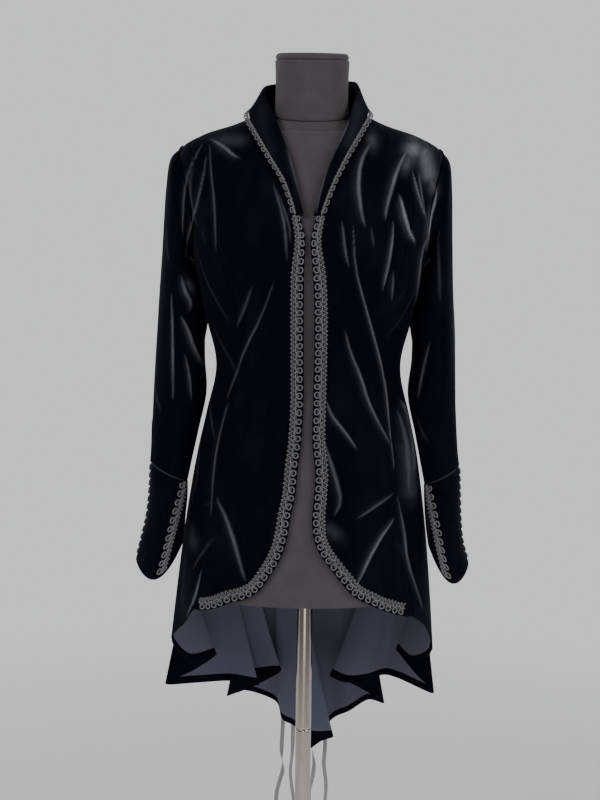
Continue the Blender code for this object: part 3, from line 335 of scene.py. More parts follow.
def shell(name, outer, inner, materials, around=False, band=None, shine=None, step=1):
    # a wall between two grids of points, the inner one with wider steps
    # band marks the inner faces that are the turned hem, shine is the highlight painted on the nap
    rows, columns = outer.shape[0] - 1, outer.shape[1] - 1
    mesh = bmesh.new()
    gridInto(mesh, rows, columns)
    gridInto(mesh, rows, columns, step, 1)
    corners = {tuple(int(c) for c in vert.co): vert for vert in mesh.verts}
    rims = [[(i, j) for i in range(columns + 1)] for j in (0, rows)]
    rims += [[(i, j) for j in range(rows + 1)] for i in (0, columns)]
    for rim in rims:
        for n in range(0, len(rim) - 1, step):
            near = [corners[(*place, 0)] for place in rim[n:n + step + 1]]
            mesh.faces.new(near + [corners[(*rim[n + step], 1)], corners[(*rim[n], 1)]])
    bmesh.ops.recalc_face_normals(mesh, faces=mesh.faces)
    if around:
        # a tube has no rim where its two sides meet
        seam = [f for f in mesh.faces if {v.co.x for v in f.verts} in ({0}, {columns})]
        bmesh.ops.delete(mesh, geom=seam, context="FACES")
    u, v = gridLengths(outer, 1).tolist(), gridLengths(outer, 0).tolist()
    layer = mesh.loops.layers.uv.new("cloth")
    for face in mesh.faces:
        for loop in face.loops:
            i, j = int(loop.vert.co.x), int(loop.vert.co.y)
            loop[layer].uv = (u[j][i], v[j][i])
        if len(materials) > 1 and all(vert.co.z == 1 for vert in face.verts):
            face.material_index = 0 if band is not None and band[j][i] else 1
    points = (outer.tolist(), inner.tolist())
    # the crest layer carries that painted highlight to the velvet's colour
    crest = mesh.verts.layers.float.new("crest")
    lights = np.zeros(outer.shape[:2]).tolist() if shine is None else shine.tolist()
    for vert in mesh.verts:
        i, j, k = (int(c) for c in vert.co)
        vert[crest] = lights[j][i]
        vert.co = points[k][j][i]
    if around:
        bmesh.ops.remove_doubles(mesh, verts=mesh.verts, dist=1e-6)
    return addPiece(mesh, name, materials)


def tubeInto(mesh, layer, path, normals, radius, sides):
    # a closed round cord along a path, with its seam on the side away from the normals
    forward = unit(np.gradient(path, axis=0))
    side = unit(np.cross(forward, normals))
    up = np.cross(side, forward)
    radius = (radius * np.ones(len(path)))[:, None, None]
    turn = np.linspace(-math.pi / 2, math.pi * 1.5, sides + 1)
    across, rise = np.cos(turn)[None, :, None], np.sin(turn)[None, :, None]
    rings = (path[:, None] + radius * (across * side[:, None] + rise * up[:, None])).tolist()
    along = lengthsOf(path).tolist()
    lattice = latticeMesh(len(path) - 1, sides)
    made = {}
    for vert in lattice.verts:
        i, j = int(vert.co.x), int(vert.co.y)
        if i < sides:
            made[j, i] = mesh.verts.new(rings[j][i])
    for face in lattice.faces:
        keys = [(int(v.co.y), int(v.co.x)) for v in face.verts]
        new = mesh.faces.new([made[j, i % sides] for j, i in keys])
        for loop, (j, i) in zip(new.loops, keys):
            loop[layer].uv = (along[j], i / sides)
    lattice.free()
    for j in (0, len(path) - 1):
        mesh.faces.new([made[j, i] for i in range(sides)])


def standFor(piece, node):
    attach(piece, "root")
    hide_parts(node)


def treeOver(objects):
    points, faces = [], []
    for thing in objects:
        start = len(points)
        points += [v.co.copy() for v in thing.data.vertices]
        faces += [[start + n for n in p.vertices] for p in thing.data.polygons]
    return BVHTree.FromPolygons(points, faces)


def laid(tree, points, normals, reach=0.02):
    # points dropped along their normals onto what lies there
    made = points.copy()
    for n, (point, normal) in enumerate(zip(points, normals)):
        hit = tree.ray_cast(Vector(point + normal * reach), Vector(-normal), 2 * reach)[0]
        if hit is not None:
            made[n] = hit
    return made


# The body that the jacket is cut to: height, half_width, front, back, power
bodyShape = {
    "rows": (
        (0.400, 0.206, 0.165, 0.250, 2.1), (0.600, 0.193, 0.152, 0.200, 2.1),
        (0.720, 0.184, 0.144, 0.172, 2.1), (0.800, 0.177, 0.138, 0.154, 2.1),
        (0.870, 0.169, 0.130, 0.140, 2.1), (0.930, 0.160, 0.120, 0.124, 2.1),
        (0.990, 0.147, 0.111, 0.106, 2.1), (1.060, 0.1335, 0.104, 0.090, 2.1),
        (1.130, 0.149, 0.120, 0.098, 2.15), (1.190, 0.162, 0.136, 0.105, 2.2),
        (1.245, 0.172, 0.140, 0.110, 2.3), (1.300, 0.182, 0.120, 0.110, 2.5),
        (1.340, 0.188, 0.097, 0.103, 2.6), (1.368, 0.184, 0.079, 0.092, 2.5),
        (1.388, 0.150, 0.064, 0.078, 2.3), (1.402, 0.108, 0.056, 0.068, 2.1),
        (1.416, 0.080, 0.052, 0.062, 2.0), (1.432, 0.068, 0.050, 0.060, 2.0),
    ),
    "wall": 0.0018, "hip": 0.930, "flare": 1.15, "slide": 2.0, "valleyTop": 0.728,
}
bodyHeights = [row[0] for row in bodyShape["rows"]]
bodySizes = [row[1:] for row in bodyShape["rows"]]
wall = bodyShape["wall"]


def body(theta, height):
    theta, height = np.broadcast_arrays(np.asarray(theta, float), np.asarray(height, float))
    half, front, back, power = np.moveaxis(spline(bodyHeights, bodySizes, height), -1, 0)
    across, along = np.sin(theta), np.cos(theta)
    reach = (np.abs(across) ** power + np.abs(along) ** power) ** (-1 / power)
    depth = np.where(along > 0, front, back)
    return np.stack([half * reach * across, -depth * reach * along, height], -1)


def bodyNormal(theta, height):
    small = 1e-4
    along = body(theta + small, height) - body(theta - small, height)
    up = body(theta, height + small) - body(theta, height - small)
    return unit(np.cross(along, up))


def faceOut(theta, height):
    face, normal = body(theta, height), bodyNormal(theta, height)
    return face, normal * np.sign((normal * face * (1, 1, 0)).sum(-1, keepdims=True))


def frontAngle(x, height):
    half, _, _, power = np.moveaxis(spline(bodyHeights, bodySizes, height), -1, 0)
    across = np.clip(np.abs(x) / half, 0, 1)
    return np.arctan2(across, (1 - across**power) ** (1 / power)) * np.sign(x)


def frontFace(x, height):
    angle = frontAngle(x, height)
    normal = bodyNormal(angle, height)
    return body(angle, height), normal * np.where(normal[..., 1:2] < 0, 1, -1)


# Seams: height and degrees from centre front, by way of the left side and the back
seams = {
    "princess_left": (
        (0.700, -59.5), (0.770, -54.5), (0.873, -52.0), (0.948, -54.5), (1.0135, -50.0), (1.063, -46.5),
        (1.113, -42.0), (1.164, -41.0), (1.230, -46.0), (1.3125, -44.0), (1.350, -52.0), (1.375, -68.0),
        (1.389, -90.0),
    ),
    "side_left": ((0.400, -90.0), (1.389, -90.0)),
    "back_left": (
        (0.400, -140.0), (0.930, -140.0), (1.060, -146.0), (1.200, -139.0), (1.300, -136.0),
        (1.350, -129.0), (1.375, -113.0), (1.389, -90.0),
    ),
    "centre_back": ((0.400, -180.0), (1.389, -180.0)),
    "back_right": (
        (0.400, -218.0), (0.930, -218.0), (1.060, -214.0), (1.200, -221.0), (1.300, -224.0),
        (1.350, -231.0), (1.375, -247.0), (1.389, -270.0),
    ),
    "side_right": ((0.400, -270.0), (1.389, -270.0)),
    "princess_right": (
        (0.700, -305.5), (0.789, -308.8), (0.873, -310.1), (0.919, -309.9), (0.9885, -310.4),
        (1.047, -308.7), (1.115, -313.2), (1.157, -314.4), (1.210, -312.7), (1.267, -311.7),
        (1.337, -315.0), (1.358, -308.0), (1.375, -294.0), (1.389, -270.0),
    ),
}
# where each seam meets the hem, as a place in the hem's list of points
seamStops = {
    "princess_left": 0, "side_left": 2, "back_left": 9, "centre_back": 21.5,
    "back_right": 28, "side_right": 37, "princess_right": 39,
}


def seamAngle(name, height):
    rows = np.array(seams[name])
    return np.radians(spline(rows[:, 0], rows[:, 1], height))


# The hem in millimetres, from the left princess seam by way of the back
hemLine = {
    "points": (
        (-157.5, -79.0, 716.0), (-176, -40, 685), (-198, 5, 648), (-174, 44, 606), (-136, 80, 604),
        (-171, 96, 574), (-215, 90, 554), (-170, 124, 546), (-116, 153, 541), (-73, 157, 533),
        (-89, 176, 531), (-94, 190, 539), (-37, 192, 546), (-84, 216, 511), (-126, 228, 491),
        (-98, 252, 495), (-45, 255, 476), (-33, 244, 449), (-14, 239, 440), (16, 229, 424),
        (50, 224, 425), (31, 250, 408), (6, 268, 384), (47, 280, 435), (78, 268, 456),
        (110, 250, 482), (134, 217, 487), (87, 203, 519), (45, 184, 541), (67, 166, 537),
        (99, 172, 539), (128, 180, 546), (153, 140, 552), (200, 66, 552), (171, 64, 583),
        (142, 66, 619), (162, 30, 611), (189, 0, 636), (178, -36, 681), (145.0, -90.5, 711.0),
    ),
    # the turned hem: its width, and the share of a panel's height where its last row starts
    "band": 0.0060, "lastRow": 0.9935,
}
hemPoints = np.array(hemLine["points"]) / 1000
for foot, seamName in ((0, "princess_left"), (-1, "princess_right")):
    hemPoints[foot] = body(seamAngle(seamName, hemPoints[foot, 2]), hemPoints[foot, 2])
stops = np.array(list(seamStops.values()))


def hemPoint(k):
    return spline(range(len(hemPoints)), hemPoints, k)


def panelAngle(k, height):
    angles = np.stack([seamAngle(name, height) for name in seamStops])
    i = np.clip(np.searchsorted(stops, k, side="right") - 1, 0, len(stops) - 2)
    share = (k - stops[i]) / (stops[i + 1] - stops[i])
    first = np.take_along_axis(angles, i[None], 0)[0]
    last = np.take_along_axis(angles, i[None] + 1, 0)[0]
    return first + (last - first) * share


def skirt(k, share):
    # crests grow out from the hip, folds slide sideways lower down, valleys go in below the form
    k, share = np.broadcast_arrays(np.asarray(k, float), np.asarray(share, float))
    hem = hemPoint(k)
    hip, top = bodyShape["hip"], bodyShape["valleyTop"]
    height = hip + (hem[..., 2] - hip) * share
    smooth = body(panelAngle(k, height), height)
    angle = panelAngle(k, hem[..., 2])
    end = body(angle, hem[..., 2])
    out = unit(bodyNormal(angle, hem[..., 2]) * (1, 1, 0))
    out = out * np.where((out * end).sum(-1, keepdims=True) > 0, 1, -1)
    offset = (hem - end) * (1, 1, 0)
    reach = (offset * out).sum(-1)
    slide = offset - out * reach[..., None]
    inward = np.clip((top - height) / (top - hem[..., 2]), 0, 1)
    grow = np.where(reach > 0, share ** bodyShape["flare"], inward)
    return smooth + out * (reach * grow)[..., None] + slide * (share ** bodyShape["slide"])[..., None]


def skirtNormal(k, share):
    small = 1e-3
    low, high = np.maximum(k - small, 0), np.minimum(k + small, len(hemPoints) - 1)
    along = skirt(high, share) - skirt(low, share)
    down = skirt(k, share + small) - skirt(k, share - small)
    return unit(np.cross(along, down))


armholes = {
    "middle": 1.2915, "halfHeight": 0.0785, "front": 26.0, "back": 25.0,
    "turns": (0, 32, 60, 88, 115, 145, 180),
}


def armhole(side, turn):
    reach = np.where(np.sin(turn) > 0, armholes["front"], armholes["back"])
    angle = np.radians(90 - reach * np.sin(turn))
    return side * angle, armholes["middle"] + armholes["halfHeight"] * np.cos(turn)


# Borders of the panels, at row numbers: down to the armpit, on round the body to the hip, then the skirt
panels = {
    "princess": (1.389, 1.377, 1.357, 1.330, 1.295, 1.250, 1.222),
    "centre": (1.4325, 1.412, 1.385, 1.350, 1.310, 1.268, 1.226),
    "bodice": (1.170, 1.115, 1.060, 0.995, 0.930), "skirt": (0.17, 0.34, 0.51, 0.68, 0.84, 1.0),
    "pitRow": 6, "hipRow": 11, "breakRow": 5, "footRow": 17, "seamDip": 0.0013, "seamReach": 0.0030,
    # counts of rows above the armpit, from there to the hip and below it, and how far apart columns are
    "rows": {"back": (50, 56, 84), "side_back": (42, 64, 62), "side_front": (60, 110, 101)},
    "cells": {"back": 0.0048, "side_back": 0.0048, "side_front": 0.0022},
    "frontRows": (117, 303), "frontColumns": 75, "hemSteps": 2000, "hemEase": 0.02,
    # the shoulder seam's two ends, its share of a back panel's top, and the rise of the neckline to the nape
    "shoulder": 1.389, "neckPoint": 1.418, "ridge": 1 / 3, "napeRise": 0.0145,
}


def seamBorder(name, r, upper="princess"):
    knots = panels[upper] + panels["bodice"]
    heights = np.interp(r, range(len(knots)), knots)
    return np.stack([seamAngle(name, heights), heights], -1)


def armholeBorder(side, front, r):
    # round the armhole, then down the side of the body
    pit = panels["pitRow"]
    turn = np.radians(np.interp(r, range(pit + 1), armholes["turns"])) * (1 if front else -1)
    angle, height = armhole(side, turn)
    knots = (armholes["middle"] - armholes["halfHeight"],) + panels["bodice"]
    height = np.where(r > pit, np.interp(r, range(pit, pit + len(knots)), knots), height)
    angle = np.where(r > pit, side * math.pi / 2, angle)
    return np.stack([angle if side < 0 else angle - math.tau, height], -1)


def rowNumbers(*counts):
    knots = (0, panels["pitRow"], panels["hipRow"])
    parts = [np.linspace(a, b, n)[1:] for a, b, n in zip(knots, knots[1:], counts)]
    return np.concatenate([[0.0], *parts])


# Creases as the photograph shows them
creases = {
    # height in millimetres, half width in pixels, painted highlight on the nap, points in the photograph's
    # pixels
    "front": (
        (1.8, 3.2, 0.55, ((371, 142), (360, 163), (358, 187), (361, 213), (365, 227))),
        (2.2, 2.8, 0.65, ((409, 146), (397, 170), (392, 187), (386, 208), (385, 220))),
        (0.0, 8.5, 0.74, ((414, 141), (413, 158))),
        (0.0, 5.5, 0.22, ((371, 132), (373, 150))),
        (0.0, 7.0, 0.60, ((423, 146), (431, 182))),
        (1.2, 2.6, 0.50, ((421, 144), (428, 173), (436, 195))),
        (1.8, 1.7, 0.60, ((412, 170), (419, 199), (427, 223))),
        (1.8, 2.4, 0.95, ((437, 188), (435, 202), (430, 217), (428, 234), (426, 252))),
        (0.6, 1.4, 0.45, ((418, 169), (421, 190), (425, 214))),
        (0.0, 5.2, 0.34, ((409, 152), (405, 172))),
        (0.0, 5.2, 0.30, ((432, 176), (434, 196))),
        (0.8, 1.5, 0.20, ((371, 226), (374, 248))),
        (1.2, 1.8, 0.45, ((428, 232), (421, 254), (418, 285), (415, 306))),
        (2.6, 3.0, 0.90, ((399, 195), (404, 216), (409, 233), (415, 243))),
        (2.0, 2.0, 0.60, ((393, 221), (392, 240), (389, 261), (382, 290))),
        (1.2, 2.0, 0.30, ((393, 271), (392, 302))),
        (1.4, 2.0, 0.38, ((342, 221), (345, 251), (349, 268))),
        (1.8, 1.5, 0.55, (
            (353, 226), (355, 268), (364, 302), (376, 345), (384, 378), (387, 400), (391, 445), (394, 470),
        )),
        (2.0, 2.4, 0.45, ((345, 331), (350, 352), (361, 378), (367, 400), (379, 425), (390, 445))),
        (2.0, 2.2, 0.50, ((326, 400), (331, 415), (339, 425), (347, 435), (357, 450))),
        (3.4, 3.2, 0.34, ((322, 438), (329, 458), (336, 480), (341, 501), (334, 516))),
        (1.2, 2.2, 0.30, ((394, 493), (379, 504), (357, 519))),
        (2.0, 2.4, 0.62, ((394, 518), (376, 544), (356, 586))),
        (1.0, 6.0, 0.12, ((324, 524), (341, 539))),
        (2.4, 4.6, 0.50, ((400, 400), (409, 418), (413, 445), (413, 475))),
        (0.0, 8.0, 0.18, ((407, 440), (411, 470), (412, 500))),
        (1.6, 4.0, 0.35, ((397, 410), (405, 436), (408, 462), (408, 496))),
        (1.6, 1.7, 0.40, ((397, 496), (404, 529), (407, 562), (415, 586), (422, 609))),
        (0.0, 2.2, 0.35, ((420, 458), (424, 533), (428, 566))),
        (1.4, 1.6, 0.38, ((228, 403), (220, 433), (214, 466), (211, 516))),
        (2.0, 3.0, 0.40, ((217, 498), (226, 516), (235, 543), (241, 566), (246, 581))),
        (1.2, 2.6, 0.25, ((280, 529), (273, 541))),
        (0.8, 5.0, 0.15, ((188, 524), (195, 549))),
        (1.6, 1.6, 0.50, ((202, 569), (195, 599), (187, 617))),
        (1.4, 3.0, 0.50, ((210, 139), (224, 147), (234, 156), (240, 158))),
        (0.0, 6.0, 0.14, ((216, 140), (246, 140))),
        (1.0, 1.7, 0.28, ((210, 144), (211, 170), (214, 199), (216, 251))),
        (1.4, 1.9, 0.30, ((203, 144), (190, 168), (184, 192), (183, 226), (182, 240))),
        (1.2, 1.8, 0.34, ((207, 156), (200, 195), (190, 230), (185, 251), (189, 263))),
        (1.6, 1.7, 0.38, ((273, 183), (283, 216), (286, 237), (287, 261))),
        (1.2, 1.7, 0.28, ((277, 190), (289, 223), (291, 242))),
        (2.6, 3.0, 0.50, ((181, 276), (184, 290), (191, 302), (189, 311))),
        (1.2, 5.5, 0.26, ((186, 278), (194, 293))),
        (2.6, 2.7, 0.52, ((181, 316), (188, 330), (193, 347), (202, 366))),
        (1.8, 1.6, 0.52, ((172, 294), (173, 337), (173, 399))),
        (1.6, 1.8, 0.38, ((185, 354), (190, 380), (191, 400))),
        (1.6, 1.5, 0.30, ((274, 282), (262, 316), (246, 347), (236, 375), (227, 400))),
        (1.2, 2.4, 0.18, ((253, 285), (243, 313), (236, 328))),
        (1.8, 1.6, 0.36, ((430, 342), (423, 371), (418, 400))),
        (1.2, 2.2, 0.16, ((438, 233), (440, 302))),
        (1.0, 1.8, 0.28, ((452, 242), (454, 320), (455, 400))),
        (0.0, 6.0, 0.07, ((357, 100), (357, 120), (346, 150))),
        (0.0, 6.0, 0.03, ((262, 100), (262, 125), (274, 158))),
        (0.0, 1.7, 0.50, ((350, 117), (347, 128), (331, 159), (323, 182), (316, 213))),
        (0.0, 1.7, 0.36, ((283, 122), (288, 152), (296, 182), (302, 206))),
    ),
    # the front's own, and softer ones like them on the hidden sides: turn in degrees, shares of the height
    # and of the painted highlight, and the rise and offset of the weight by how far the cloth faces that way
    "turns": (
        (0, 1.0, 1.0, 3, 0), (90, 0.35, 0.35, 4, 2.4), (180, 0.45, 0.5, 4, 2.4), (270, 0.35, 0.35, 4, 2.4),
    ),
    # pixels over which a crease runs out, what is left at the very end, and the share of a step cut off corners
    "ends": 9, "left": 0.3, "corner": 0.25,
    # the dip beside a crest: its share of the height, its place in half widths and its narrowness
    "dip": (0.35, 1.5, 3),
    # creases with half widths from here on are soft patches of painted sheen
    "broad": 5.0,
    # how wide a crest's painted highlight is at its ends, what its middle adds and by which power, and the same
    # for strength
    "wide": (0.45, 0.55, 0.8), "strong": (0.6, 0.4),
    # the sharp side of that painted highlight and its glowing one: share of the width and power, and the glow's
    # strength
    "core": (0.60, 3), "glow": (1.3, 1.5, 0.30),
}


def cornersCut(line):
    line = np.array(line, float)
    start, steps = line[:-1], np.diff(line, axis=0)
    cut = start + steps * creases["corner"], start + steps * (1 - creases["corner"])
    return np.concatenate([line[:1], np.stack(cut, 1).reshape(-1, 2)[1:-1], line[-1:]])


def nearestOn(line, steps, flat):
    # how far points of the picture lie from a line, how far along it, and whether on its right
    near, along, right = np.full(len(flat), np.inf), np.zeros(len(flat)), np.zeros(len(flat), bool)
    for a, b, start in zip(line, line[1:], steps):
        way = b - a
        t = np.clip(((flat - a) @ way) / (way @ way), 0, 1)
        away = np.linalg.norm(flat - a - t[:, None] * way, axis=-1)
        closer = away < near
        near = np.where(closer, away, near)
        along = np.where(closer, start + t * np.linalg.norm(way), along)
        right = np.where(closer, (flat - a) @ np.array([way[1], -way[0]]) > 0, right)
    return near, along, right


def crestLight(near, share, right, width):
    # a crest's painted highlight thins towards its ends; it stops sharply on one side and glows off on the
    # other, as if lit from one side
    swell = np.sin(np.clip(share, 0, 1) * math.pi)
    ends, more, soon = creases["wide"]
    thin = width * (ends + more * swell ** soon)
    reach, power = creases["core"]
    core = np.exp(-((near / (thin * reach)) ** power))
    reach, power, strength = creases["glow"]
    glow = np.exp(-((near / (thin * reach)) ** power)) * strength
    low, rise = creases["strong"]
    return np.where(right, core, np.maximum(core, glow)) * (low + rise * swell)


def creased(points, normals):
    # how far creases lift each point, and how much highlight is painted on the nap there
    lift, shine = np.zeros(points.shape[:-1]), np.zeros(points.shape[:-1])
    depth, place, narrow = creases["dip"]
    for degrees, high, bright, rise, offset in creases["turns"]:
        turn = np.array(Matrix.Rotation(math.radians(degrees), 3, "Z"))
        weight = np.clip(-(normals @ turn)[..., 1] * rise - offset, 0, 1)
        here = weight > 0
        flat = pictured(points[here] @ turn)
        for height, width, light, line in creases["front"]:
            line = cornersCut(line)
            steps = lengthsOf(line)
            near, along, right = nearestOn(line, steps, flat)
            fromEnd = np.minimum(along, steps[-1] - along)
            taper = np.clip(creases["left"] + fromEnd / creases["ends"], 0, 1) * weight[here]
            crest = np.exp(-((near / width) ** 2))
            shape = crest - depth * np.exp(-((near / width - place) ** 2) * narrow)
            lift[here] += height / 1000 * high * shape * taper
            broad = width >= creases["broad"]
            spread = crest if broad else crestLight(near, along / steps[-1], right, width)
            shine[here] = np.maximum(shine[here], light * bright * spread * taper)
    return lift, shine


def seamDips(points, first):
    # how far a panel's face sinks beside its last seam, and beside its first one
    across = gridLengths(points, 1)
    dip = np.exp(-(((across[:, -1:] - across) / panels["seamReach"]) ** 2))
    if first:
        dip += np.exp(-((across / panels["seamReach"]) ** 2))
    return -panels["seamDip"] * dip


def outward(points, normals):
    middle = points.shape[1] // 2
    facing = (normals[0, middle] * points[0, middle] * (1, 1, 0)).sum()
    return normals if facing > 0 else -normals


def measure(grid):
    sides = np.cross(grid[1:, :-1] - grid[:-1, :-1], grid[:-1, 1:] - grid[:-1, :-1])
    float(np.linalg.norm(sides, axis=-1).sum())


def turnedHem(face, width):
    # which points of a face lie within a width of its lower edge
    return (gridLengths(face[::-1], 0)[::-1] < width).tolist()


def panelPiece(name, points, normals, first=True, hem=True, step=1):
    normals = outward(points, normals)
    # shine is the painted highlight from the crease table
    lift, shine = creased(points, normals)
    outer = points + normals * (lift + seamDips(points, first))[..., None]
    inner = outer - normals * wall
    measure(outer)
    band = turnedHem(outer, hemLine["band"]) if hem else None
    return shell(name, outer, inner, ("velvet", "backing"), band=band, shine=shine, step=step)


def hemPlaces(stopsHere, cell):
    # places along the hem, evenly apart but for a little ease where it hardly moves
    dense = np.linspace(*(seamStops[name] for name in stopsHere), panels["hemSteps"])
    steps = lengthsOf(hemPoint(dense)) + np.linspace(0, panels["hemEase"], len(dense))
    return np.interp(np.linspace(0, steps[-1], 2 * round(steps[-1] / cell / 2) + 1), steps, dense)


def lowerGrid(places, count):
    shares = np.linspace(0, 1, count)[1:]
    shares[-2] = max(shares[-2], hemLine["lastRow"])
    k, share = np.meshgrid(places, shares)
    return skirt(k, share), skirtNormal(k, share)


def sharesOf(places):
    return (places - places[0]) / (places[-1] - places[0])


def between(first, last, share):
    return first[:, None, :] + (last - first)[:, None, :] * share[None, :, None]


def upperGrid(rows):
    return body(rows[..., 0], rows[..., 1]), bodyNormal(rows[..., 0], rows[..., 1])


# The side panels' two seams: at a side seam a panel's border runs round the armhole first
sidePanels = {
    "side_front_left": ("princess_left", "side_left"), "side_back_left": ("side_left", "back_left"),
    "side_back_right": ("back_right", "side_right"), "side_front_right": ("side_right", "princess_right"),
}


def sideBorder(stop, front, r):
    if stop.startswith("side_"):
        return armholeBorder(-1 if stop == "side_left" else 1, front, r)
    return seamBorder(stop, r)


def sidePanel(node):
    stopsHere, kind = sidePanels[node], node.rsplit("_", 1)[0]
    *bodyRows, skirtRows = panels["rows"][kind]
    fine = kind == "side_front"
    r = rowNumbers(*bodyRows)
    places = hemPlaces(stopsHere, panels["cells"][kind])
    first, last = (sideBorder(stop, fine, r) for stop in stopsHere)
    upper = upperGrid(between(first, last, sharesOf(places)))
    points, normals = (np.concatenate(pair) for pair in zip(upper, lowerGrid(places, skirtRows)))
    for column, stop in ((0, "princess_left"), (-1, "princess_right")):
        if stopsHere[column] == stop:
            heights = points[:, column, 2]
            normals[:, column] = bodyNormal(seamAngle(stop, heights), heights)
    return panelPiece(f"velvet_{node}", points, normals, step=2 if fine else 1)


def backRows(stopsHere, r, share):
    first, last = (seamBorder(s, r, "centre" if s == "centre_back" else "princess") for s in stopsHere)
    return between(first, last, share)


def backPanel(name, side):
    stopsHere = ("back_left", "centre_back") if side < 0 else ("centre_back", "back_right")
    *bodyRows, skirtRows = panels["rows"]["back"]
    r = rowNumbers(*bodyRows)
    places = hemPlaces(stopsHere, panels["cells"]["back"])
    share = sharesOf(places)
    # the top row runs up the shoulder seam, then along half of the back neckline
    quarter, ridge = math.pi / 2, panels["ridge"]
    low, high = panels["shoulder"], panels["neckPoint"]
    s = share if side < 0 else 1 - share
    angle = np.where(s < ridge, -quarter, -quarter * (1 + (s - ridge) / (1 - ridge)))
    height = np.where(s < ridge, low + (high - low) * s / ridge, napeHeight(angle))
    top = np.stack([angle if side < 0 else -math.tau - angle, height], -1)
    blend = np.clip(1 - r, 0, 1)[:, None, None]
    second = backRows(stopsHere, np.array([1.0]), share)
    rows = np.where(r[:, None, None] < 1, top * blend + second * (1 - blend), backRows(stopsHere, r, share))
    points, normals = (np.concatenate(pair) for pair in zip(upperGrid(rows), lowerGrid(places, skirtRows)))
    return panelPiece(name, points, normals)


def napeHeight(angle):
    return panels["neckPoint"] + panels["napeRise"] * np.sin(np.abs(np.abs(angle) - math.pi / 2))


# The fronts' edges, each point as x and height: the neck down to the break, then the edge and the cutaway
frontEdges = {
    1: {
        "neck": (
            (0.0780, 1.4180), (0.0655, 1.3985), (0.0500, 1.3700), (0.0345, 1.3400), (0.0180, 1.3000),
            (0.0055, 1.2620),
        ),
        "edge": (
            (0.0055, 1.262), (0.0002, 1.234), (0.0032, 1.198), (0.0065, 1.150), (0.0075, 1.080),
            (0.0068, 1.015), (0.0065, 0.960), (0.0110, 0.920), (0.0095, 0.885), (0.0075, 0.855),
            (0.0105, 0.828), (0.0190, 0.808), (0.0330, 0.789), (0.0490, 0.769), (0.0650, 0.751),
            (0.0830, 0.740), (0.1020, 0.7295), (0.1230, 0.7205), (0.1430, 0.7125),
        ),
        "seam": "princess_right",
    },
    -1: {
        "neck": (
            (-0.0780, 1.4180), (-0.0680, 1.3970), (-0.0540, 1.3680), (-0.0400, 1.3400), (-0.0245, 1.3000),
            (-0.0125, 1.2620),
        ),
        "edge": (
            (-0.0125, 1.262), (-0.0070, 1.236), (-0.0080, 1.198), (-0.0080, 1.150), (-0.0072, 1.080),
            (-0.0066, 1.015), (-0.0090, 0.960), (-0.0130, 0.925), (-0.0165, 0.885), (-0.0220, 0.860),
            (-0.0275, 0.825), (-0.0365, 0.799), (-0.0500, 0.776), (-0.0640, 0.756), (-0.0830, 0.743),
            (-0.1060, 0.7345), (-0.1280, 0.7230), (-0.1540, 0.7150),
        ),
        "seam": "princess_left",
    },
}


def frontBorder(side, r):
    neck, edge = np.array(frontEdges[side]["neck"]), np.array(frontEdges[side]["edge"])
    start, foot = panels["breakRow"], panels["footRow"]
    path = spline(np.linspace(0, 1, len(edge)), edge, (r - start) / (foot - start))
    points = np.where(r[:, None] < start, spline(range(len(neck)), neck, r), path)
    angles = frontAngle(points[:, 0], points[:, 1])
    angles = np.where(r == 0, side * math.pi / 2, angles)
    return np.stack([angles, points[:, 1]], -1)


def frontPanel(name, side):
    seam = frontEdges[side]["seam"]
    foot, hip = hemPoints[seamStops[seam]][2], bodyShape["hip"]
    heights = panels["princess"] + panels["bodice"] + tuple(hip + (foot - hip) * s for s in panels["skirt"])
    knots = (0, panels["breakRow"], panels["footRow"])
    above, below = (np.linspace(a, b, n) for a, b, n in zip(knots, knots[1:], panels["frontRows"]))
    r = np.concatenate([above, below[1:]])
    z = np.interp(r, range(len(heights)), heights)
    border = np.stack([seamAngle(seam, z) + (math.tau if side > 0 else 0), z], -1)
    shares = sharesOf(np.arange(float(panels["frontColumns"])))
    points, normals = upperGrid(between(frontBorder(side, r), border, shares))
    return panelPiece(name, points, normals, first=False, hem=False, step=2)


sleeves = {
    # outer x on the left and right, outer height, inner x on the left and right, inner height, middle y,
    # half depth
    "rows": (
        (0.2010, 0.1985, 1.352, 0.1700, 0.1700, 1.2090, 0.004, 0.060),
        (0.2070, 0.2025, 1.312, 0.1685, 0.1685, 1.2030, 0.004, 0.060),
        (0.2100, 0.2042, 1.266, 0.1665, 0.1665, 1.1955, 0.004, 0.059),
        (0.2128, 0.2055, 1.215, 0.1636, 0.1636, 1.1850, 0.004, 0.057),
        (0.2165, 0.2080, 1.163, 0.1556, 0.1556, 1.1500, 0.005, 0.054),
        (0.2195, 0.2118, 1.113, 0.1512, 0.1512, 1.1120, 0.006, 0.051),
        (0.2220, 0.2132, 1.067, 0.1502, 0.1500, 1.0670, 0.004, 0.049),
        (0.2240, 0.2142, 1.021, 0.1475, 0.1455, 1.0180, 0.000, 0.046),
        (0.2248, 0.2158, 0.975, 0.1580, 0.1560, 0.9640, -0.010, 0.042),
        (0.2250, 0.2175, 0.940, 0.1665, 0.1640, 0.9220, -0.020, 0.038),
        (0.2252, 0.2192, 0.921, 0.1718, 0.1692, 0.8940, -0.028, 0.035),
    ),
    # heights, and how far the inner side leans to the body there
    "press": (
        (1.095, 1.118, 1.131, 1.160, 1.185, 1.200, 1.214),
        (0, 0.0048, 0.0062, 0.0050, 0.0034, 0.0026, 0.0008),
    ),
    "gap": 0.0006, "columns": 120, "rings": 181,
}


def ring(side, row, turns):
    left, right, outerZ, innerLeft, innerRight, innerZ, middleY, depth = row
    outer = np.array([side * (right if side > 0 else left), middleY, outerZ])
    inner = np.array([side * (innerRight if side > 0 else innerLeft), middleY, innerZ])
    across, along = np.sin(turns)[:, None], np.cos(turns)[:, None]
    return (outer + inner) / 2 + along * (outer - inner) / 2 - across * np.array([0, depth, 0])


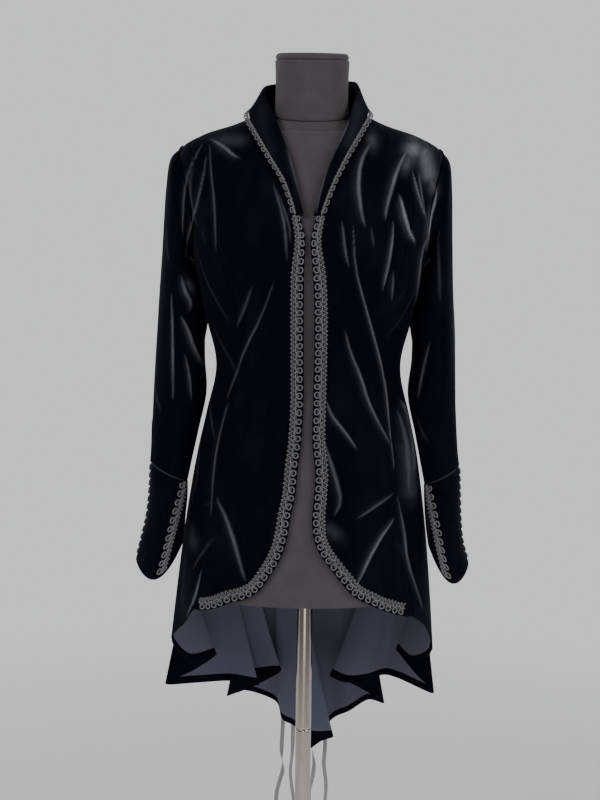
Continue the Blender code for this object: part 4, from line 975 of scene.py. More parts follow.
def tubeNormals(points):
    along = np.empty_like(points)
    along[:, 1:-1] = points[:, 2:] - points[:, :-2]
    along[:, 0] = along[:, -1] = points[:, 1] - points[:, -2]
    normals = unit(np.cross(along, np.gradient(points, axis=0)))
    centre = points[:, :-1].mean(axis=1, keepdims=True)
    return normals * np.where(((points - centre) * normals).sum(-1, keepdims=True) > 0, 1, -1)


def sleeve(name, side):
    turns = np.linspace(0, math.tau, sleeves["columns"] + 1)
    angle, height = armhole(side, turns)
    lift = bodyNormal(angle, height)
    lift *= np.sign((lift * (side, 0, 0)).sum(-1, keepdims=True))
    first = body(angle, height) + lift * sleeves["gap"]
    rings = [first] + [ring(side, row, turns) for row in sleeves["rows"]]
    points = through(np.array(rings), sleeves["rings"])
    inside = np.clip(-np.cos(turns), 0, 1) ** 0.5
    points[..., 0] -= side * np.interp(points[..., 2], *sleeves["press"]) * inside
    normals = tubeNormals(points)
    # shine is the painted highlight from the crease table
    raised, shine = creased(points, normals)
    outer = points + normals * raised[..., None]
    # the head stays outside the body: its wall turns away from it there
    away = normals[0] - lift * np.minimum((normals[0] * lift).sum(-1, keepdims=True), 0)
    inner = outer - normals * wall
    outer[0], inner[0] = first + unit(away) * wall, first
    outer[:, -1] = outer[:, 0]
    measure(outer)
    return shell(name, outer, inner, ("velvet", "backing"), around=True, shine=shine, step=2)


cuffs = {
    # the sleeve's columns, and how far the lower edge dips at the front and at the back
    "rows": (
        (0.2253, 0.2193, 0.9210, 0.1717, 0.1691, 0.8940, -0.028, 0.0351, 0.000, 0.000),
        (0.2262, 0.2206, 0.8800, 0.1716, 0.1695, 0.8700, -0.033, 0.0350, 0.000, 0.000),
        (0.2300, 0.2222, 0.8420, 0.1735, 0.1708, 0.8480, -0.036, 0.0360, 0.004, 0.002),
        (0.2375, 0.2262, 0.8090, 0.1750, 0.1730, 0.8260, -0.038, 0.0380, 0.018, 0.010),
        (0.2450, 0.2350, 0.7800, 0.1775, 0.1765, 0.8030, -0.038, 0.0400, 0.034, 0.022),
    ),
    "columns": 100, "rings": 61, "crowd": 1.25, "band": 0.012,
    # at the top seam: how deep the face sinks, how strong the highlight painted on the nap is, and how far each
    # reaches
    "seamDip": (0.0010, 0.004), "seamLight": (0.30, 0.0016),
    # degrees at the top and at the edge, shares where the gimp starts and ends, and the way its loops point
    "trims": {"front": (146.0, 98.0, 0.03, 0.97, -1), "back": (-22.0, -24.0, 0.03, 0.97, 1)}, "trimPoints": 60,
}


def cuffFace(side, turn, share):
    turn, share = np.broadcast_arrays(np.asarray(turn, float), np.asarray(share, float))
    rows = spline(np.linspace(0, 1, len(cuffs["rows"])), np.array(cuffs["rows"]), share)
    left, right, outerZ, innerLeft, innerRight, innerZ, middleY, depth, front, back = np.moveaxis(rows, -1, 0)
    outer = side * (right if side > 0 else left)
    inner = side * (innerRight if side > 0 else innerLeft)
    across, along = np.sin(turn), np.cos(turn)
    x = (outer + inner) / 2 + along * (outer - inner) / 2
    z = (outerZ + innerZ) / 2 + along * (outerZ - innerZ) / 2
    z = z - np.where(across > 0, front, back) * across**2
    return np.stack([x, middleY - across * depth, z], -1)


def cuff(name, side):
    turns = np.linspace(0, math.tau, cuffs["columns"] + 1)
    turn, share = np.meshgrid(turns, np.linspace(0, 1, cuffs["rings"]) ** cuffs["crowd"])
    outer = cuffFace(side, turn, share)
    outer[:, -1] = outer[:, 0]
    normals = tubeNormals(outer)
    top = lengthsOf(outer[:, cuffs["columns"] // 4])[:, None]
    depth, reach = cuffs["seamDip"]
    outer = outer - normals * (depth * np.exp(-((top / reach) ** 2)))[..., None]
    inner = outer - normals * wall
    measure(outer)
    # a painted highlight along the top seam, joined to the painted crease highlights
    light, reach = cuffs["seamLight"]
    shine = np.maximum(creased(outer, normals)[1], light * np.exp(-((top / reach) ** 2)))
    band = turnedHem(outer, cuffs["band"])
    return shell(name, outer, inner, ("velvet", "backing"), around=True, band=band, shine=shine, step=2)


# The collar: each side's rows run from the nape down to the break
collarSet = {
    # degrees on the nape or, where under 2, height on the front; a point of the roll line and one of the outer
    # edge, with no y where they lie over the front
    "back": ((180, (0.0, 0.0680, 1.4740), (0.0, 0.0890, 1.4300)),),
    "right": (
        (135, (0.0480, 0.0470, 1.4710), (0.0620, 0.0630, 1.4290)),
        (90, (0.0635, 0.0080, 1.4610), (0.0785, 0.0100, 1.4290)),
        (1.4020, (0.0572, -0.0260, 1.4260), (0.0765, None, 1.4110)),
        (1.3800, (0.0490, None, 1.3965), (0.0650, None, 1.3860)),
        (1.3530, (0.0325, None, 1.3560), (0.0480, None, 1.3550)),
        (1.3170, (0.0175, None, 1.3175), (0.0305, None, 1.3190)),
        (1.2900, (0.0095, None, 1.2890), (0.0185, None, 1.2900)),
        (1.2680, (0.0030, None, 1.2680), (0.0112, None, 1.2680)),
    ),
    "left": (
        (135, (-0.0520, 0.0470, 1.4655), (-0.0680, 0.0620, 1.4290)),
        (90, (-0.0680, 0.0060, 1.4525), (-0.0850, 0.0080, 1.4270)),
        (1.4000, (-0.0560, -0.0300, 1.4190), (-0.0860, None, 1.4060)),
        (1.3780, (-0.0450, None, 1.3900), (-0.0730, None, 1.3800)),
        (1.3480, (-0.0310, None, 1.3520), (-0.0540, None, 1.3480)),
        (1.3150, (-0.0205, None, 1.3160), (-0.0355, None, 1.3170)),
        (1.2900, (-0.0150, None, 1.2890), (-0.0245, None, 1.2900)),
        (1.2680, (-0.0098, None, 1.2680), (-0.0180, None, 1.2680)),
    ),
    "lift": 0.0052, "rollHalf": 0.0022, "rollDrop": 0.0012, "seamGap": 0.0009,
    # shares across where the fold has its corners, and how they are rounded: reach, samples and fade
    "folds": (0, 0.40, 0.5, 0.60, 1.0), "soft": 0.13, "samples": 9, "fade": 2.4,
    "along": (0.003, 0.997, 261), "across": (0.001, 0.999, 33), "small": 0.002,
    # its gimp: band, gap and depth under the edge, shares along, and the shares across that give its frame
    "band": 0.0035, "trimGap": 0.0006, "under": 0.00145,
    "trims": {1: (0.996, 0.503), -1: (0.004, 0.497)}, "edge": 0.999, "inside": 0.62, "beside": 0.9,
    # down to which height it is kept over the shoulder, and by how much
    "shoulderLow": 1.375, "shoulderGap": 0.0016, "shoulderReach": 0.02,
}


def collarPlace(place):
    x, y, z = place
    if y is not None:
        return np.array(place)
    face, normal = frontFace(np.array([x]), np.array([z]))
    return (face + normal * collarSet["lift"])[0]


def collarSeam(side, where):
    gap = collarSet["seamGap"]
    if where > 2:
        angle = side * math.radians(where)
        face, normal = faceOut(angle, float(napeHeight(angle)))
        return face - normal * wall / 2 + np.array([0, 0, gap])
    neck = np.array(frontEdges[side]["neck"])[::-1]
    x = np.interp(where, neck[:, 1], neck[:, 0]) - side * gap
    face, normal = frontFace(np.array([x]), np.array([where]))
    return (face - normal * wall / 2)[0]


collarRows = [(-1, row) for row in reversed(collarSet["left"])]
collarRows += [(1, row) for row in collarSet["back"] + collarSet["right"]]
collarLines = [np.array([collarSeam(side, row[0]) for side, row in collarRows])]
collarLines += [np.array([collarPlace(row[n]) for _, row in collarRows]) for n in (1, 2)]


def collarFold(along, across):
    ends = np.linspace(0, 1, len(collarRows))
    seam, roll, edge = (spline(ends, line, along) for line in collarLines)
    crown = unit(roll - (seam + edge) / 2)
    before, after = (spline(ends, collarLines[1], along + way * collarSet["small"]) for way in (-1, 1))
    over = unit(np.cross(crown, after - before))
    half, drop = collarSet["rollHalf"], collarSet["rollDrop"]
    aside, down = over * half, crown * drop
    places = np.stack([seam, roll - aside - down, roll, roll + aside - down, edge])
    knots = np.array(collarSet["folds"])
    i = np.clip(np.searchsorted(knots, across, side="right") - 1, 0, len(knots) - 2)
    share = ((across - knots[i]) / (knots[i + 1] - knots[i]))[..., None]
    first = np.take_along_axis(places, i[None, ..., None], 0)[0]
    last = np.take_along_axis(places, i[None, ..., None] + 1, 0)[0]
    return first + (last - first) * share


def collarFace(along, across):
    # the fold rounded by taking a mean over a short way across it
    along, across = np.broadcast_arrays(np.asarray(along, float), np.asarray(across, float))
    reach = np.minimum(collarSet["soft"], np.minimum(across, 1 - across))
    offsets = np.linspace(-1, 1, collarSet["samples"])
    weights = np.cos(offsets * math.pi / collarSet["fade"]) ** 2
    total = sum(w * collarFold(along, across + o * reach) for o, w in zip(offsets, weights))
    return total / weights.sum()


def collar(name):
    along, across = (np.linspace(*collarSet[way]) for way in ("along", "across"))
    middle = collarFace(*np.meshgrid(along, across, indexing="ij"))
    lift = unit(np.cross(np.gradient(middle, axis=0), np.gradient(middle, axis=1))) * wall / 2
    measure(middle)
    # shine is the painted highlight from the crease table
    shine = creased(middle, -unit(lift) * np.sign(lift[..., 1:2]))[1]
    return shell(name, middle + lift, middle - lift, ("velvet",), shine=shine)


trim = {
    "width": 0.018, "band": 0.009, "pitch": 0.0118, "lay": 0.0009,
    "zigzag": {"middle": 0.0039, "swing": 0.0026, "period": 0.0063, "radius": 0.00075, "points": 16},
    # the zigzag is the arcsine of a sine, cut a little so that its turns are round, over that arcsine's reach;
    # knots thicken the cord at its turns, and room is what a narrower band still leaves to it
    "turns": {"cut": 0.96, "reach": 1.287, "knots": 0.00045, "narrow": 6, "room": 0.25},
    "thread": {"middle": 0.0039, "swing": 0.0020, "radius": 0.00036, "rise": 0.0003},
    "loops": ({"middle": 0.0122, "reach": 0.0045, "sway": 0.0064, "radius": 0.00105},
              {"middle": 0.0112, "reach": 0.0014, "sway": 0.0038, "radius": 0.00040}),
    # no two loops are quite alike: how unlike, and the rates of the two waves that make them so
    "loopPoints": 22, "loopRise": 0.0004, "uneven": 0.12, "rates": (0.37, 0.83),
    # the narrow gimp under the collar's edge, and counts of points along the edges and the front gimp's path
    "narrow": 0.62, "edgePoints": 400, "pathPoints": 300,
    # the front gimp: its first row and the share of the edge that it covers, its inset, its share of the width
    # at the break, and how far down it has its whole width
    "firstRow": 4.75, "covers": 0.985, "inset": 0.0006, "start": 0.60, "grown": 0.085,
}


def gimp(name, length, place, band, under=None):
    # a zigzag cord with knots at its turns, a thread that crosses it, and two cords that run in rings
    mesh = bmesh.new()
    layer = mesh.loops.layers.uv.new("cord")
    narrow = 1 if band == trim["band"] else trim["narrow"]
    shift = band - trim["band"]

    def strand(along, across, height, radius, sides=5):
        points, normals = place(np.clip(along, 0, length), across * narrow)
        if under is not None:
            points = laid(under, points, normals)
        radius = radius * (narrow + 1) / 2
        path = points + normals * (trim["lay"] + radius + height)[:, None]
        tubeInto(mesh, layer, path, normals, radius, sides)

    zigzag, thread, turns = trim["zigzag"], trim["thread"], trim["turns"]
    periods = length / zigzag["period"]
    turn = np.linspace(0, periods * math.tau, round(periods * zigzag["points"]))
    wave = np.arcsin(np.sin(turn) * turns["cut"]) / turns["reach"]
    along, squeeze = turn / math.tau * zigzag["period"], min(1, band / trim["band"] + turns["room"])
    radius = zigzag["radius"] + turns["knots"] * np.abs(np.sin(turn)) ** turns["narrow"]
    strand(along, (zigzag["middle"] + zigzag["swing"] * wave) * squeeze, np.zeros(len(turn)), radius)
    rise = thread["rise"] * (1 + np.cos(turn))
    strand(along, (thread["middle"] - thread["swing"] * wave) * squeeze, rise, thread["radius"], 4)
    count = max(2, round(length / trim["pitch"]))
    turn = np.linspace(0, count * math.tau, count * trim["loopPoints"])
    slow, fast = trim["rates"]
    uneven = 1 + trim["uneven"] * np.sin(turn * slow) * np.sin(turn * fast + 1)
    for loop in trim["loops"]:
        along = turn / math.tau * length / count + loop["sway"] * np.sin(turn) * uneven
        across = loop["middle"] + shift - loop["reach"] * np.cos(turn) / uneven
        strand(along, across, trim["loopRise"] * (1 + np.sin(turn)), loop["radius"])
    bmesh.ops.recalc_face_normals(mesh, faces=mesh.faces)
    return addPiece(mesh, name, ("cord",))


def pointsAt(path, distance):
    steps = lengthsOf(path)
    return np.stack([np.interp(distance, steps, path[:, n]) for n in range(3)], -1)


def frontGimp(name, side, panel, reach=0.008):
    rows = np.linspace(trim["firstRow"], panels["footRow"], trim["edgePoints"])
    edge = body(*frontBorder(side, rows).T)
    path = pointsAt(edge, np.linspace(0, lengthsOf(edge)[-1] * trim["covers"], trim["pathPoints"]))

    def place(along, across):
        point = pointsAt(path, along)
        forward = unit(pointsAt(path, along + reach) - pointsAt(path, along - reach))
        normal = frontFace(point[:, 0], point[:, 2])[1]
        inward = unit(np.cross(normal, forward))
        inward = inward * np.sign((inward * (side, 0, 0)).sum())
        wide = np.interp(along, (0, trim["grown"]), (trim["start"], 1))
        point = point + inward * (wide * (trim["width"] - across) + trim["inset"])[:, None]
        return frontFace(point[:, 0], point[:, 2])

    return gimp(name, lengthsOf(path)[-1], place, trim["band"], treeOver([panel]))


def collarGimp(name, side, shoulder):
    shares = np.linspace(*collarSet["trims"][side], trim["edgePoints"])
    steps = lengthsOf(collarFace(shares, 1.0))
    small, beside, reach = collarSet["small"], collarSet["beside"], collarSet["shoulderReach"]

    def place(along, across):
        share = np.interp(along, steps, shares)
        edge = collarFace(share, collarSet["edge"])
        over = unit(edge - collarFace(share, collarSet["inside"]))
        up = unit(np.cross(collarFace(share + small, beside) - collarFace(share - small, beside), over))
        point = edge + over * (across + collarSet["trimGap"])[:, None] - up * collarSet["under"]
        for n in np.flatnonzero(point[:, 2] > collarSet["shoulderLow"]):
            hit = shoulder.ray_cast(Vector(point[n] + (0, 0, reach)), Vector((0, 0, -1)), 2 * reach)[0]
            if hit is not None:
                point[n, 2] = max(point[n, 2], hit.z + collarSet["shoulderGap"])
        return point, up

    return gimp(name, steps[-1], place, collarSet["band"])


def cuffGimp(name, side, row, under, small=0.01):
    top, bottom, first, last, loops = row
    shares = np.linspace(first, last, cuffs["trimPoints"])
    steps = lengthsOf(cuffFace(side, np.radians(top + (bottom - top) * shares), shares))

    def place(along, across):
        share = np.interp(along, steps, shares)
        turn = np.radians(top + (bottom - top) * share)
        around = cuffFace(side, turn + small, share) - cuffFace(side, turn - small, share)
        rate = np.linalg.norm(around, axis=1)
        turn = turn + loops * (across - trim["width"] / 2) * 2 * small / rate
        point = cuffFace(side, turn, share)
        around = cuffFace(side, turn + small, share) - cuffFace(side, turn - small, share)
        down = cuffFace(side, turn, share + small) - cuffFace(side, turn, share - small)
        normal = unit(np.cross(around, down))
        centre = cuffFace(side, turn + math.pi, share) / 2 + point / 2
        return point, normal * np.where(((point - centre) * normal).sum(-1, keepdims=True) > 0, 1, -1)

    return gimp(name, steps[-1], place, trim["band"], under)


# Cords first: the four ribbon ends that hang behind the tail
ribbonSet = {
    "width": 0.007, "thick": 0.0006, "gap": 0.0034, "knotHeight": 1.060, "knot": (0.031, 0.0085, 0.018),
    # x at the knot, at the hem and at the free end, height of that end, and sway
    "rows": (
        (-0.0114, -0.0345, -0.0400, 0.285, 0.0040), (-0.0038, -0.0165, -0.0150, 0.262, -0.0030),
        (0.0038, 0.0165, 0.0190, 0.272, 0.0035), (0.0114, 0.0390, 0.0400, 0.292, -0.0020),
    ),
    # height where each twist begins, how far it runs, and its turn in degrees
    "twists": ((0.400, 0.05, 180), (0.420, 0.03, 40), (0.430, 0.12, 250), (0.380, 0.06, 30)),
    # counts of points down to the hem and below it, how far below it the first one lies, and the finer count
    "points": (15, 5), "below": 0.03, "fine": 240,
    "tieGap": 0.0012, "knotGap": 0.0005, "seatGap": 0.00034, "far": 0.6,
    # points across a ribbon and how its thickness falls off there; points along a tie
    "across": 5, "crown": 1.2, "along": 60,
    # the knot: points round it and along it, its girth and what its lumps add to it, and how blunt its ends are
    "grid": (49, 25), "waist": (0.78, 0.22), "blunt": 6,
}


def behind(tree, x, height, reach=0.03):
    found, half, far = [], ribbonSet["width"] / 2, ribbonSet["far"]
    for dx in (-half, 0, half):
        for dz in (-reach, -reach / 2, 0, reach / 2, reach):
            hit = tree.ray_cast(Vector((x + dx, far, height + dz)), Vector((0, -1, 0)), far)[0]
            if hit is not None:
                found.append(hit.y)
    return max(found, default=None)


def ribbonPath(tree, knotX, hemX, endX, endZ, sway):
    tail = float(hemPoint(seamStops["centre_back"])[2])
    top = ribbonSet["knotHeight"] - ribbonSet["knot"][2] / 2 - ribbonSet["knotGap"]
    above, below = ribbonSet["points"]
    hangY, points = 0.0, []
    for z in np.linspace(top, tail, above):
        x = knotX + (hemX - knotX) * ((top - z) / (top - tail))
        face = behind(tree, x, z)
        hangY = hangY if face is None else face + ribbonSet["gap"]
        points.append((x, hangY, z))
    for z in np.linspace(tail - ribbonSet["below"], endZ, below):
        share = (tail - z) / (tail - endZ)
        points.append((hemX + (endX - hemX) * share + sway * math.sin(share * math.tau), hangY, z))
    return np.array(points)


def strip(name, path, across):
    # a flat ribbon with a rounded crown, its width across
    forward = unit(np.gradient(path, axis=0))
    lift = unit(np.cross(forward, across)) * ribbonSet["thick"] / 2
    share = np.linspace(-0.5, 0.5, ribbonSet["across"])
    edges = path[:, None] + across[:, None] * ribbonSet["width"] * share[None, :, None]
    crown = lift[:, None] * (1 - np.abs(share) * ribbonSet["crown"])[None, :, None]
    return shell(name, edges + crown, edges - crown, ("satin",))


def ribbons():
    tree = treeOver([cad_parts["back_left"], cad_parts["back_right"]])
    for number, (row, twist) in enumerate(zip(ribbonSet["rows"], ribbonSet["twists"]), 1):
        route = ribbonPath(tree, *row)
        path = through(route, ribbonSet["fine"])
        turn = np.radians(twist[2]) * np.clip((twist[0] - path[:, 2]) / twist[1], 0, 1)
        across = np.stack([np.cos(turn), np.sin(turn), np.zeros(len(turn))], -1)
        piece = strip(f"ribbon_end_{number}", path, across)
        standFor(piece, f"ribbon_{number}")
    return tree


backTree = ribbons()
print("ribbons made")


def closed(name, rings, look):
    # a solid through a stack of rings, whose last column is its first
    rows, columns = rings.shape[0] - 1, rings.shape[1] - 1
    mesh = latticeMesh(rows, columns)
    points = rings.tolist()
    for vert in mesh.verts:
        vert.co = points[int(vert.co.y)][int(vert.co.x) % columns]
    bmesh.ops.remove_doubles(mesh, verts=mesh.verts, dist=1e-6)
    bmesh.ops.holes_fill(mesh, edges=mesh.edges)
    bmesh.ops.recalc_face_normals(mesh, faces=mesh.faces)
    return addPiece(mesh, name, (look,))


def ties():
    width, depth, tall = ribbonSet["knot"]
    z = ribbonSet["knotHeight"]
    y = behind(backTree, 0, z, tall / 2) + ribbonSet["seatGap"] + depth / 2
    around, along = ribbonSet["grid"]
    turns, shares = np.linspace(0, math.tau, around), np.linspace(-1, 1, along)
    girth, more = ribbonSet["waist"]
    waist = girth + more * np.cos(shares * math.pi) ** 2 * np.abs(shares)
    rings = []
    for share, pinch in zip(shares, waist):
        bulge = max(0.0, 1 - abs(share) ** ribbonSet["blunt"]) ** 0.5
        x = share * width / 2 * np.ones(len(turns))
        back, up = depth / 2 * np.cos(turns), tall / 2 * np.sin(turns)
        rings.append(np.stack([x, y + back * bulge * pinch, z + up * bulge * pinch], -1))
    standFor(closed("knot", np.array(rings), "satin"), "ribbon_knot")
    for word, side in (("left", -1), ("right", 1)):
        seam = -float(seamAngle("back_left", z))
        start = math.pi - (width / 2 + ribbonSet["knotGap"]) / float(body(math.pi / 2, z)[0])
        face, normal = faceOut(np.linspace(start, seam, ribbonSet["along"]) * side, z)
        path = face + normal * (ribbonSet["tieGap"] + ribbonSet["thick"])
        tie = strip(f"waist_tie_{word}", path, np.tile([0.0, 0.0, 1.0], (len(path), 1)))
        standFor(tie, f"tie_{word}")


def dress(piece, node):
    standFor(piece, node)


def jacket():
    made = {}
    for side, word in ((-1, "left"), (1, "right")):
        made[f"front_{word}"] = frontPanel(f"velvet_front_{word}", side)
        made[f"back_{word}"] = backPanel(f"velvet_back_{word}", side)
        made[f"sleeve_{word}"] = sleeve(f"velvet_sleeve_{word}", side)
        made[f"cuff_{word}"] = cuff(f"velvet_cuff_{word}", side)
    for node in sidePanels:
        made[node] = sidePanel(node)
    made["collar"] = collar("velvet_collar")
    for node, piece in made.items():
        dress(piece, node)
    return made


pieces = jacket()
print("velvet made")
ties()


def trims():
    for side, word in ((-1, "left"), (1, "right")):
        made = {f"gimp_front_{word}": frontGimp(f"edge_gimp_{word}", side, pieces[f"front_{word}"])}
        shoulder = treeOver([pieces[f"front_{word}"], pieces[f"back_{word}"]])
        made[f"gimp_collar_{word}"] = collarGimp(f"collar_gimp_{word}", side, shoulder)
        cuffTree = treeOver([pieces[f"cuff_{word}"]])
        for end, row in cuffs["trims"].items():
            made[f"gimp_cuff_{end}_{word}"] = cuffGimp(f"cuff_gimp_{end}_{word}", side, row, cuffTree)
        for node, piece in made.items():
            standFor(piece, node)


trims()
print("gimp made")


formSet = {
    "bottom": 0.732, "top": 1.3885, "rings": 110, "sides": 96,
    # how deep the search for the cloth starts, and how far the slope and the rest stay clear of it
    "start": 0.012, "seat": 0.0009, "clear": 0.0006,
    # heights and how far the form stays inside the jacket there
    "rows": (
        (0.732, 0.0042), (0.800, 0.0035), (0.870, 0.0035), (0.930, 0.0035), (0.995, 0.0030),
        (1.060, 0.0050), (1.115, 0.0040), (1.170, 0.0030), (1.222, 0.0030), (1.258, 0.0030),
        (1.295, 0.0030), (1.330, 0.0025), (1.357, 0.0026), (1.377, 0.0022), (1.389, 0.0012),
    ),
    # the slope to the neck: height, half width, front, back, and tilt in degrees
    "neckRows": (
        (1.3930, 0.1030, 0.0560, 0.0560, 3.0), (1.4000, 0.0780, 0.0560, 0.0545, 8.0),
        (1.4080, 0.0600, 0.0553, 0.0543, 11.0), (1.4135, 0.0550, 0.0547, 0.0550, 12.0),
    ),
    # how many rings it has, and the rise and reach of the ways along which it is moved under the cloth
    "neckRings": 24, "neckRise": 1.6, "neckReach": 0.02,
    # the rounded lower edge, its angles, and the height of the flat underside
    "edge": 0.004, "angles": (1.57, 1.0), "underside": 0.7322,
    # the neck block and its cap, with a gap under each; waist, foot and head are how much narrower the block
    # is there
    "neckRadius": 0.053, "neckBottom": 1.4135, "neckTop": 1.4935, "gap": 0.0004, "blockRings": 40,
    "waist": 0.0012, "foot": 0.0010, "head": 0.0012, "neckTilt": 12, "capTilt": 7,
    # the cap's foot: how much narrower it is and how high; its side; the round above it, whose arc is in
    # radians; the ring round its top: how far in and up
    "capFoot": ((0.0026, 0), (0.0012, 0.0008), (0.0009, 0.003)), "capSide": 0.0009, "capHeight": 0.009,
    "capRound": 0.006, "capArc": (0.2, 1.57, 8), "capCrown": (0.02, 0.0004),
}


def seated(tree, start, out, clear, most, stretch=1.5):
    # points moved out from start until they are that clear of the cloth, or as far as they may go
    made = start.copy()
    for n, (point, way) in enumerate(zip(start, out)):
        distance = tree.ray_cast(Vector(point), Vector(way), formSet["start"] * 2)[3]
        room = most if distance is None else min(distance, most * stretch)
        made[n] = point + way * (room - clear)
    return made


def formTorso():
    tree = treeOver([p for node, p in pieces.items() if node.startswith(("back_", "front_", "side_"))])
    turn = np.linspace(0, math.tau, formSet["sides"] + 1)
    heights = np.linspace(formSet["bottom"], formSet["top"], formSet["rings"])
    clears = np.interp(heights, *np.array(formSet["rows"]).T)
    start = formSet["start"]
    rings = []
    for z, clear in zip(heights, clears):
        face, normal = faceOut(turn, z)
        ringPoints = face - normal * (wall + clear)
        away = seated(tree, face - normal * (wall + start), normal, formSet["clear"], start)
        inside = ((away - ringPoints) * normal).sum(-1, keepdims=True) < 0
        rings.append(np.where(inside, away, ringPoints))
    neck = [rings[-1]]
    for z, half, front, back, tilt in formSet["neckRows"]:
        y = -np.where(np.cos(turn) > 0, front, back) * np.cos(turn)
        neck.append(np.stack([half * np.sin(turn), y, z + y * math.tan(math.radians(tilt))], -1))
    reach = formSet["neckReach"]
    for row in through(np.array(neck), formSet["neckRings"])[1:]:
        out = unit(unit(row * (1, 1, 0)) + (0, 0, formSet["neckRise"]))
        rings.append(seated(tree, row - out * reach, out, formSet["seat"], reach, 1))
    # a rounded lower edge, then the flat underside
    low, soft = rings[0], formSet["edge"]
    inwards = unit(low * (1, 1, 0))
    edge = [
        low - inwards * soft * (1 - math.cos(a)) + (0, 0, soft * (1 - math.sin(a))) for a in formSet["angles"]
    ]
    rings = np.array([low - inwards * soft, *edge, *rings[1:]])
    rings[:2, :, 2] = formSet["underside"]
    return closed("form_body", rings, "jersey")


def roundSolid(name, profile, look, tilts=None):
    # a solid turned from radii and heights, each of its rings tilted by its own degrees
    turn = np.linspace(0, math.tau, formSet["sides"] + 1)
    rows = []
    for n, (radius, z) in enumerate(profile):
        y = radius * np.sin(turn)
        slope = 0 if tilts is None else math.tan(math.radians(tilts[n]))
        rows.append(np.stack([radius * np.cos(turn), y, z + y * slope], -1))
    return closed(name, np.array(rows), look)


def formPieces():
    radius, top, gap = formSet["neckRadius"], formSet["neckTop"], formSet["gap"]
    base = formSet["neckBottom"] + gap
    heights = np.linspace(base, top, formSet["blockRings"])
    tilts = np.interp(heights, (base, top), (formSet["neckTilt"], formSet["capTilt"]))
    radii = radius - formSet["waist"] * np.sin((heights - base) / (top - base) * math.pi)
    radii[0] -= formSet["foot"]
    radii[-1] -= formSet["head"]
    made = {"form_neck": roundSolid("form_neck_block", list(zip(radii, heights)), "jersey", tilts)}
    low, tall, soft = top + gap, formSet["capHeight"], formSet["capRound"]
    profile = [(radius - less, low + z) for less, z in formSet["capFoot"]]
    for a in np.linspace(*formSet["capArc"]):
        profile.append((
            radius - formSet["capSide"] - soft * (1 - math.cos(a)), low + tall - soft + soft * math.sin(a),
        ))
    inset, rise = formSet["capCrown"]
    profile.append((radius - inset, low + tall + rise))
    made["form_cap"] = roundSolid("form_neck_cap", profile, "jersey", [formSet["capTilt"]] * len(profile))
    made["form_torso"] = formTorso()
    for node, piece in made.items():
        standFor(piece, node)


formPieces()
print("form made")


standSet = {
    "pole": 0.0115, "joint": 0.517, "soft": 0.0005, "shoulder": 0.003, "gap": 0.00034, "jointGap": 0.0003,
    # the base plate: its side's height is a share of its thickness; the round above it goes in and up
    "base": 0.170, "baseThick": 0.009, "baseEdge": 0.0006, "side": 0.6,
    "round": (0.004, 0.0036), "arc": (0.5, 1.0, 1.57),
    # its rise to the hub: out from the hub's radius, and up from the plate; the hub's upper edge: in, and down
    "hub": 0.021, "hubTop": 0.040, "rise": ((0.02, 0.0012), (0.006, 0.0028), (0.002, 0.0055), (0, 0.009)),
    "hubEdge": ((0, 0.003), (0.001, 0.001), (0.003, 0)),
}


def stand():
    r, joint, soft, shoulder = (standSet[key] for key in ("pole", "joint", "soft", "shoulder"))
    gap, jointGap = standSet["gap"], standSet["jointGap"]
    thick, wide, hub, hubTop = (standSet[key] for key in ("baseThick", "base", "hub", "hubTop"))
    edge, side, (inward, upward) = standSet["baseEdge"], thick * standSet["side"], standSet["round"]
    plate = [(wide - edge, 0.0), (wide, edge), (wide, side)]
    plate += [(wide - inward * (1 - math.cos(a)), side + upward * math.sin(a)) for a in standSet["arc"]]
    plate += [(hub + out, thick + up) for out, up in standSet["rise"]]
    plate += [(hub - less, hubTop - down) for less, down in standSet["hubEdge"]]
    lower = [(r, hubTop + gap), (r, joint - shoulder), (r, joint - soft), (r - soft, joint)]
    upper = [(r - soft, joint + jointGap), (r, joint + soft + jointGap), (r, joint + shoulder)]
    upper += [(r, formSet["bottom"] - gap)]
    for node, name, profile in (
        ("pole_lower", "pole_below", lower), ("pole_upper", "pole_above", upper), ("base", "foot_plate", plate),
    ):
        standFor(roundSolid(name, profile, "chrome"), node)


stand()
print("stand made")


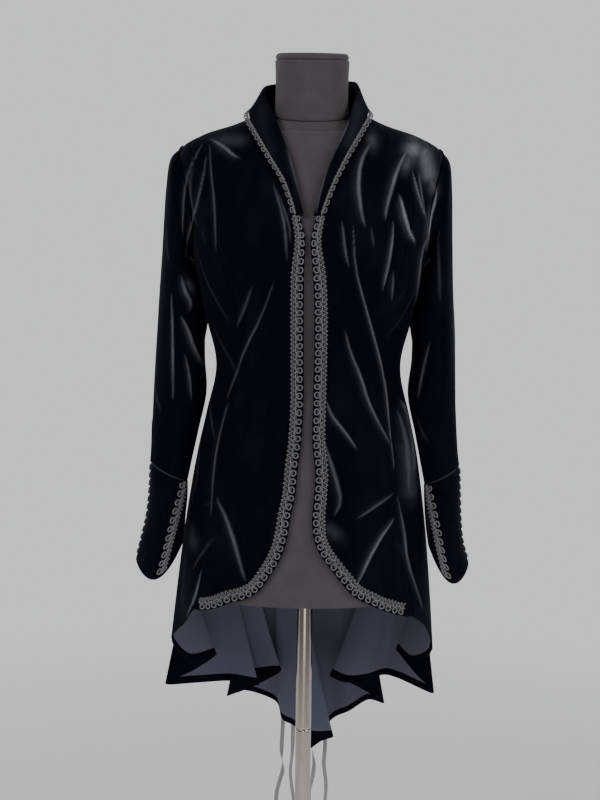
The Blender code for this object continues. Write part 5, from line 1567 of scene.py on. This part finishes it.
studio = {
    "floor": (0.94, 0.94, 0.95, 1), "grain": (0.88, 0.88, 0.89, 1), "reach": (0.9, 2.6),
    # the room is dark in front and bright behind
    "front": (0.16, 0.155, 0.15, 1), "behind": (0.86, 0.87, 0.89, 1), "strength": 0.95, "edge": (0.30, 0.60),
    # name, place, size, watts, aims at
    "lamps": (
        ("key", (-1.9, -2.2, 2.6), 1.5, 46, (0, 0, 1.0)),
        ("fill", (2.2, -1.8, 1.7), 1.8, 34, (0, 0, 0.9)),
        ("low", (0.0, -2.6, 0.5), 1.2, 9, (0, 0, 0.6)),
    ),
}


def setStudio():
    mesh = bmesh.new()
    bmesh.ops.create_grid(mesh, x_segments=2, y_segments=2, size=6)
    bmesh.ops.translate(mesh, verts=mesh.verts, vec=(0, 0, -0.0004))
    data = bpy.data.meshes.new("floor")
    mesh.to_mesh(data)
    mesh.free()
    floor = bpy.data.objects.new("floor", data)
    bpy.context.scene.collection.objects.link(floor)
    look = Look(bpy.data.materials.new("floor"), {"Roughness": 0.7, "Specular IOR Level": 0.2})
    grain = look.noise(look.place("Object"), 3, 3)
    here = look.place("Object")
    distance = look.node("ShaderNodeVectorMath", {"operation": "LENGTH"}, {0: here}, "Value")
    near, far = studio["reach"]
    sockets = {"Value": distance, 1: near, 2: far, 3: 1.0, 4: 0.0}
    fade = look.node("ShaderNodeMapRange", {"interpolation_type": "SMOOTHSTEP"}, sockets)
    colour = look.mix(grain * 0.3, studio["floor"], studio["grain"])
    data.materials.append(look.finish(Base_Color=colour, Alpha=fade))
    room = Look(bpy.data.worlds.new("room"), {"Strength": studio["strength"]}, "Background")
    here = room.node("ShaderNodeTexCoord", {}, {}, "Generated")
    way = room.node("ShaderNodeSeparateXYZ", {}, {"Vector": here}, "Y")
    low, high = studio["edge"]
    share = room.ramp(way * 0.5 + 0.5, low, high)
    bpy.context.scene.world = room.finish(Color=room.mix(share, studio["front"], studio["behind"]))
    for name, place, size, watts, aim in studio["lamps"]:
        lamp = bpy.data.lights.new(name, "AREA")
        lamp.energy, lamp.size = watts, size
        made = bpy.data.objects.new(name, lamp)
        bpy.context.scene.collection.objects.link(made)
        made.location = place
        made.rotation_euler = (Vector(aim) - Vector(place)).to_track_quat("-Z", "Y").to_euler()


setStudio()
print("studio set")
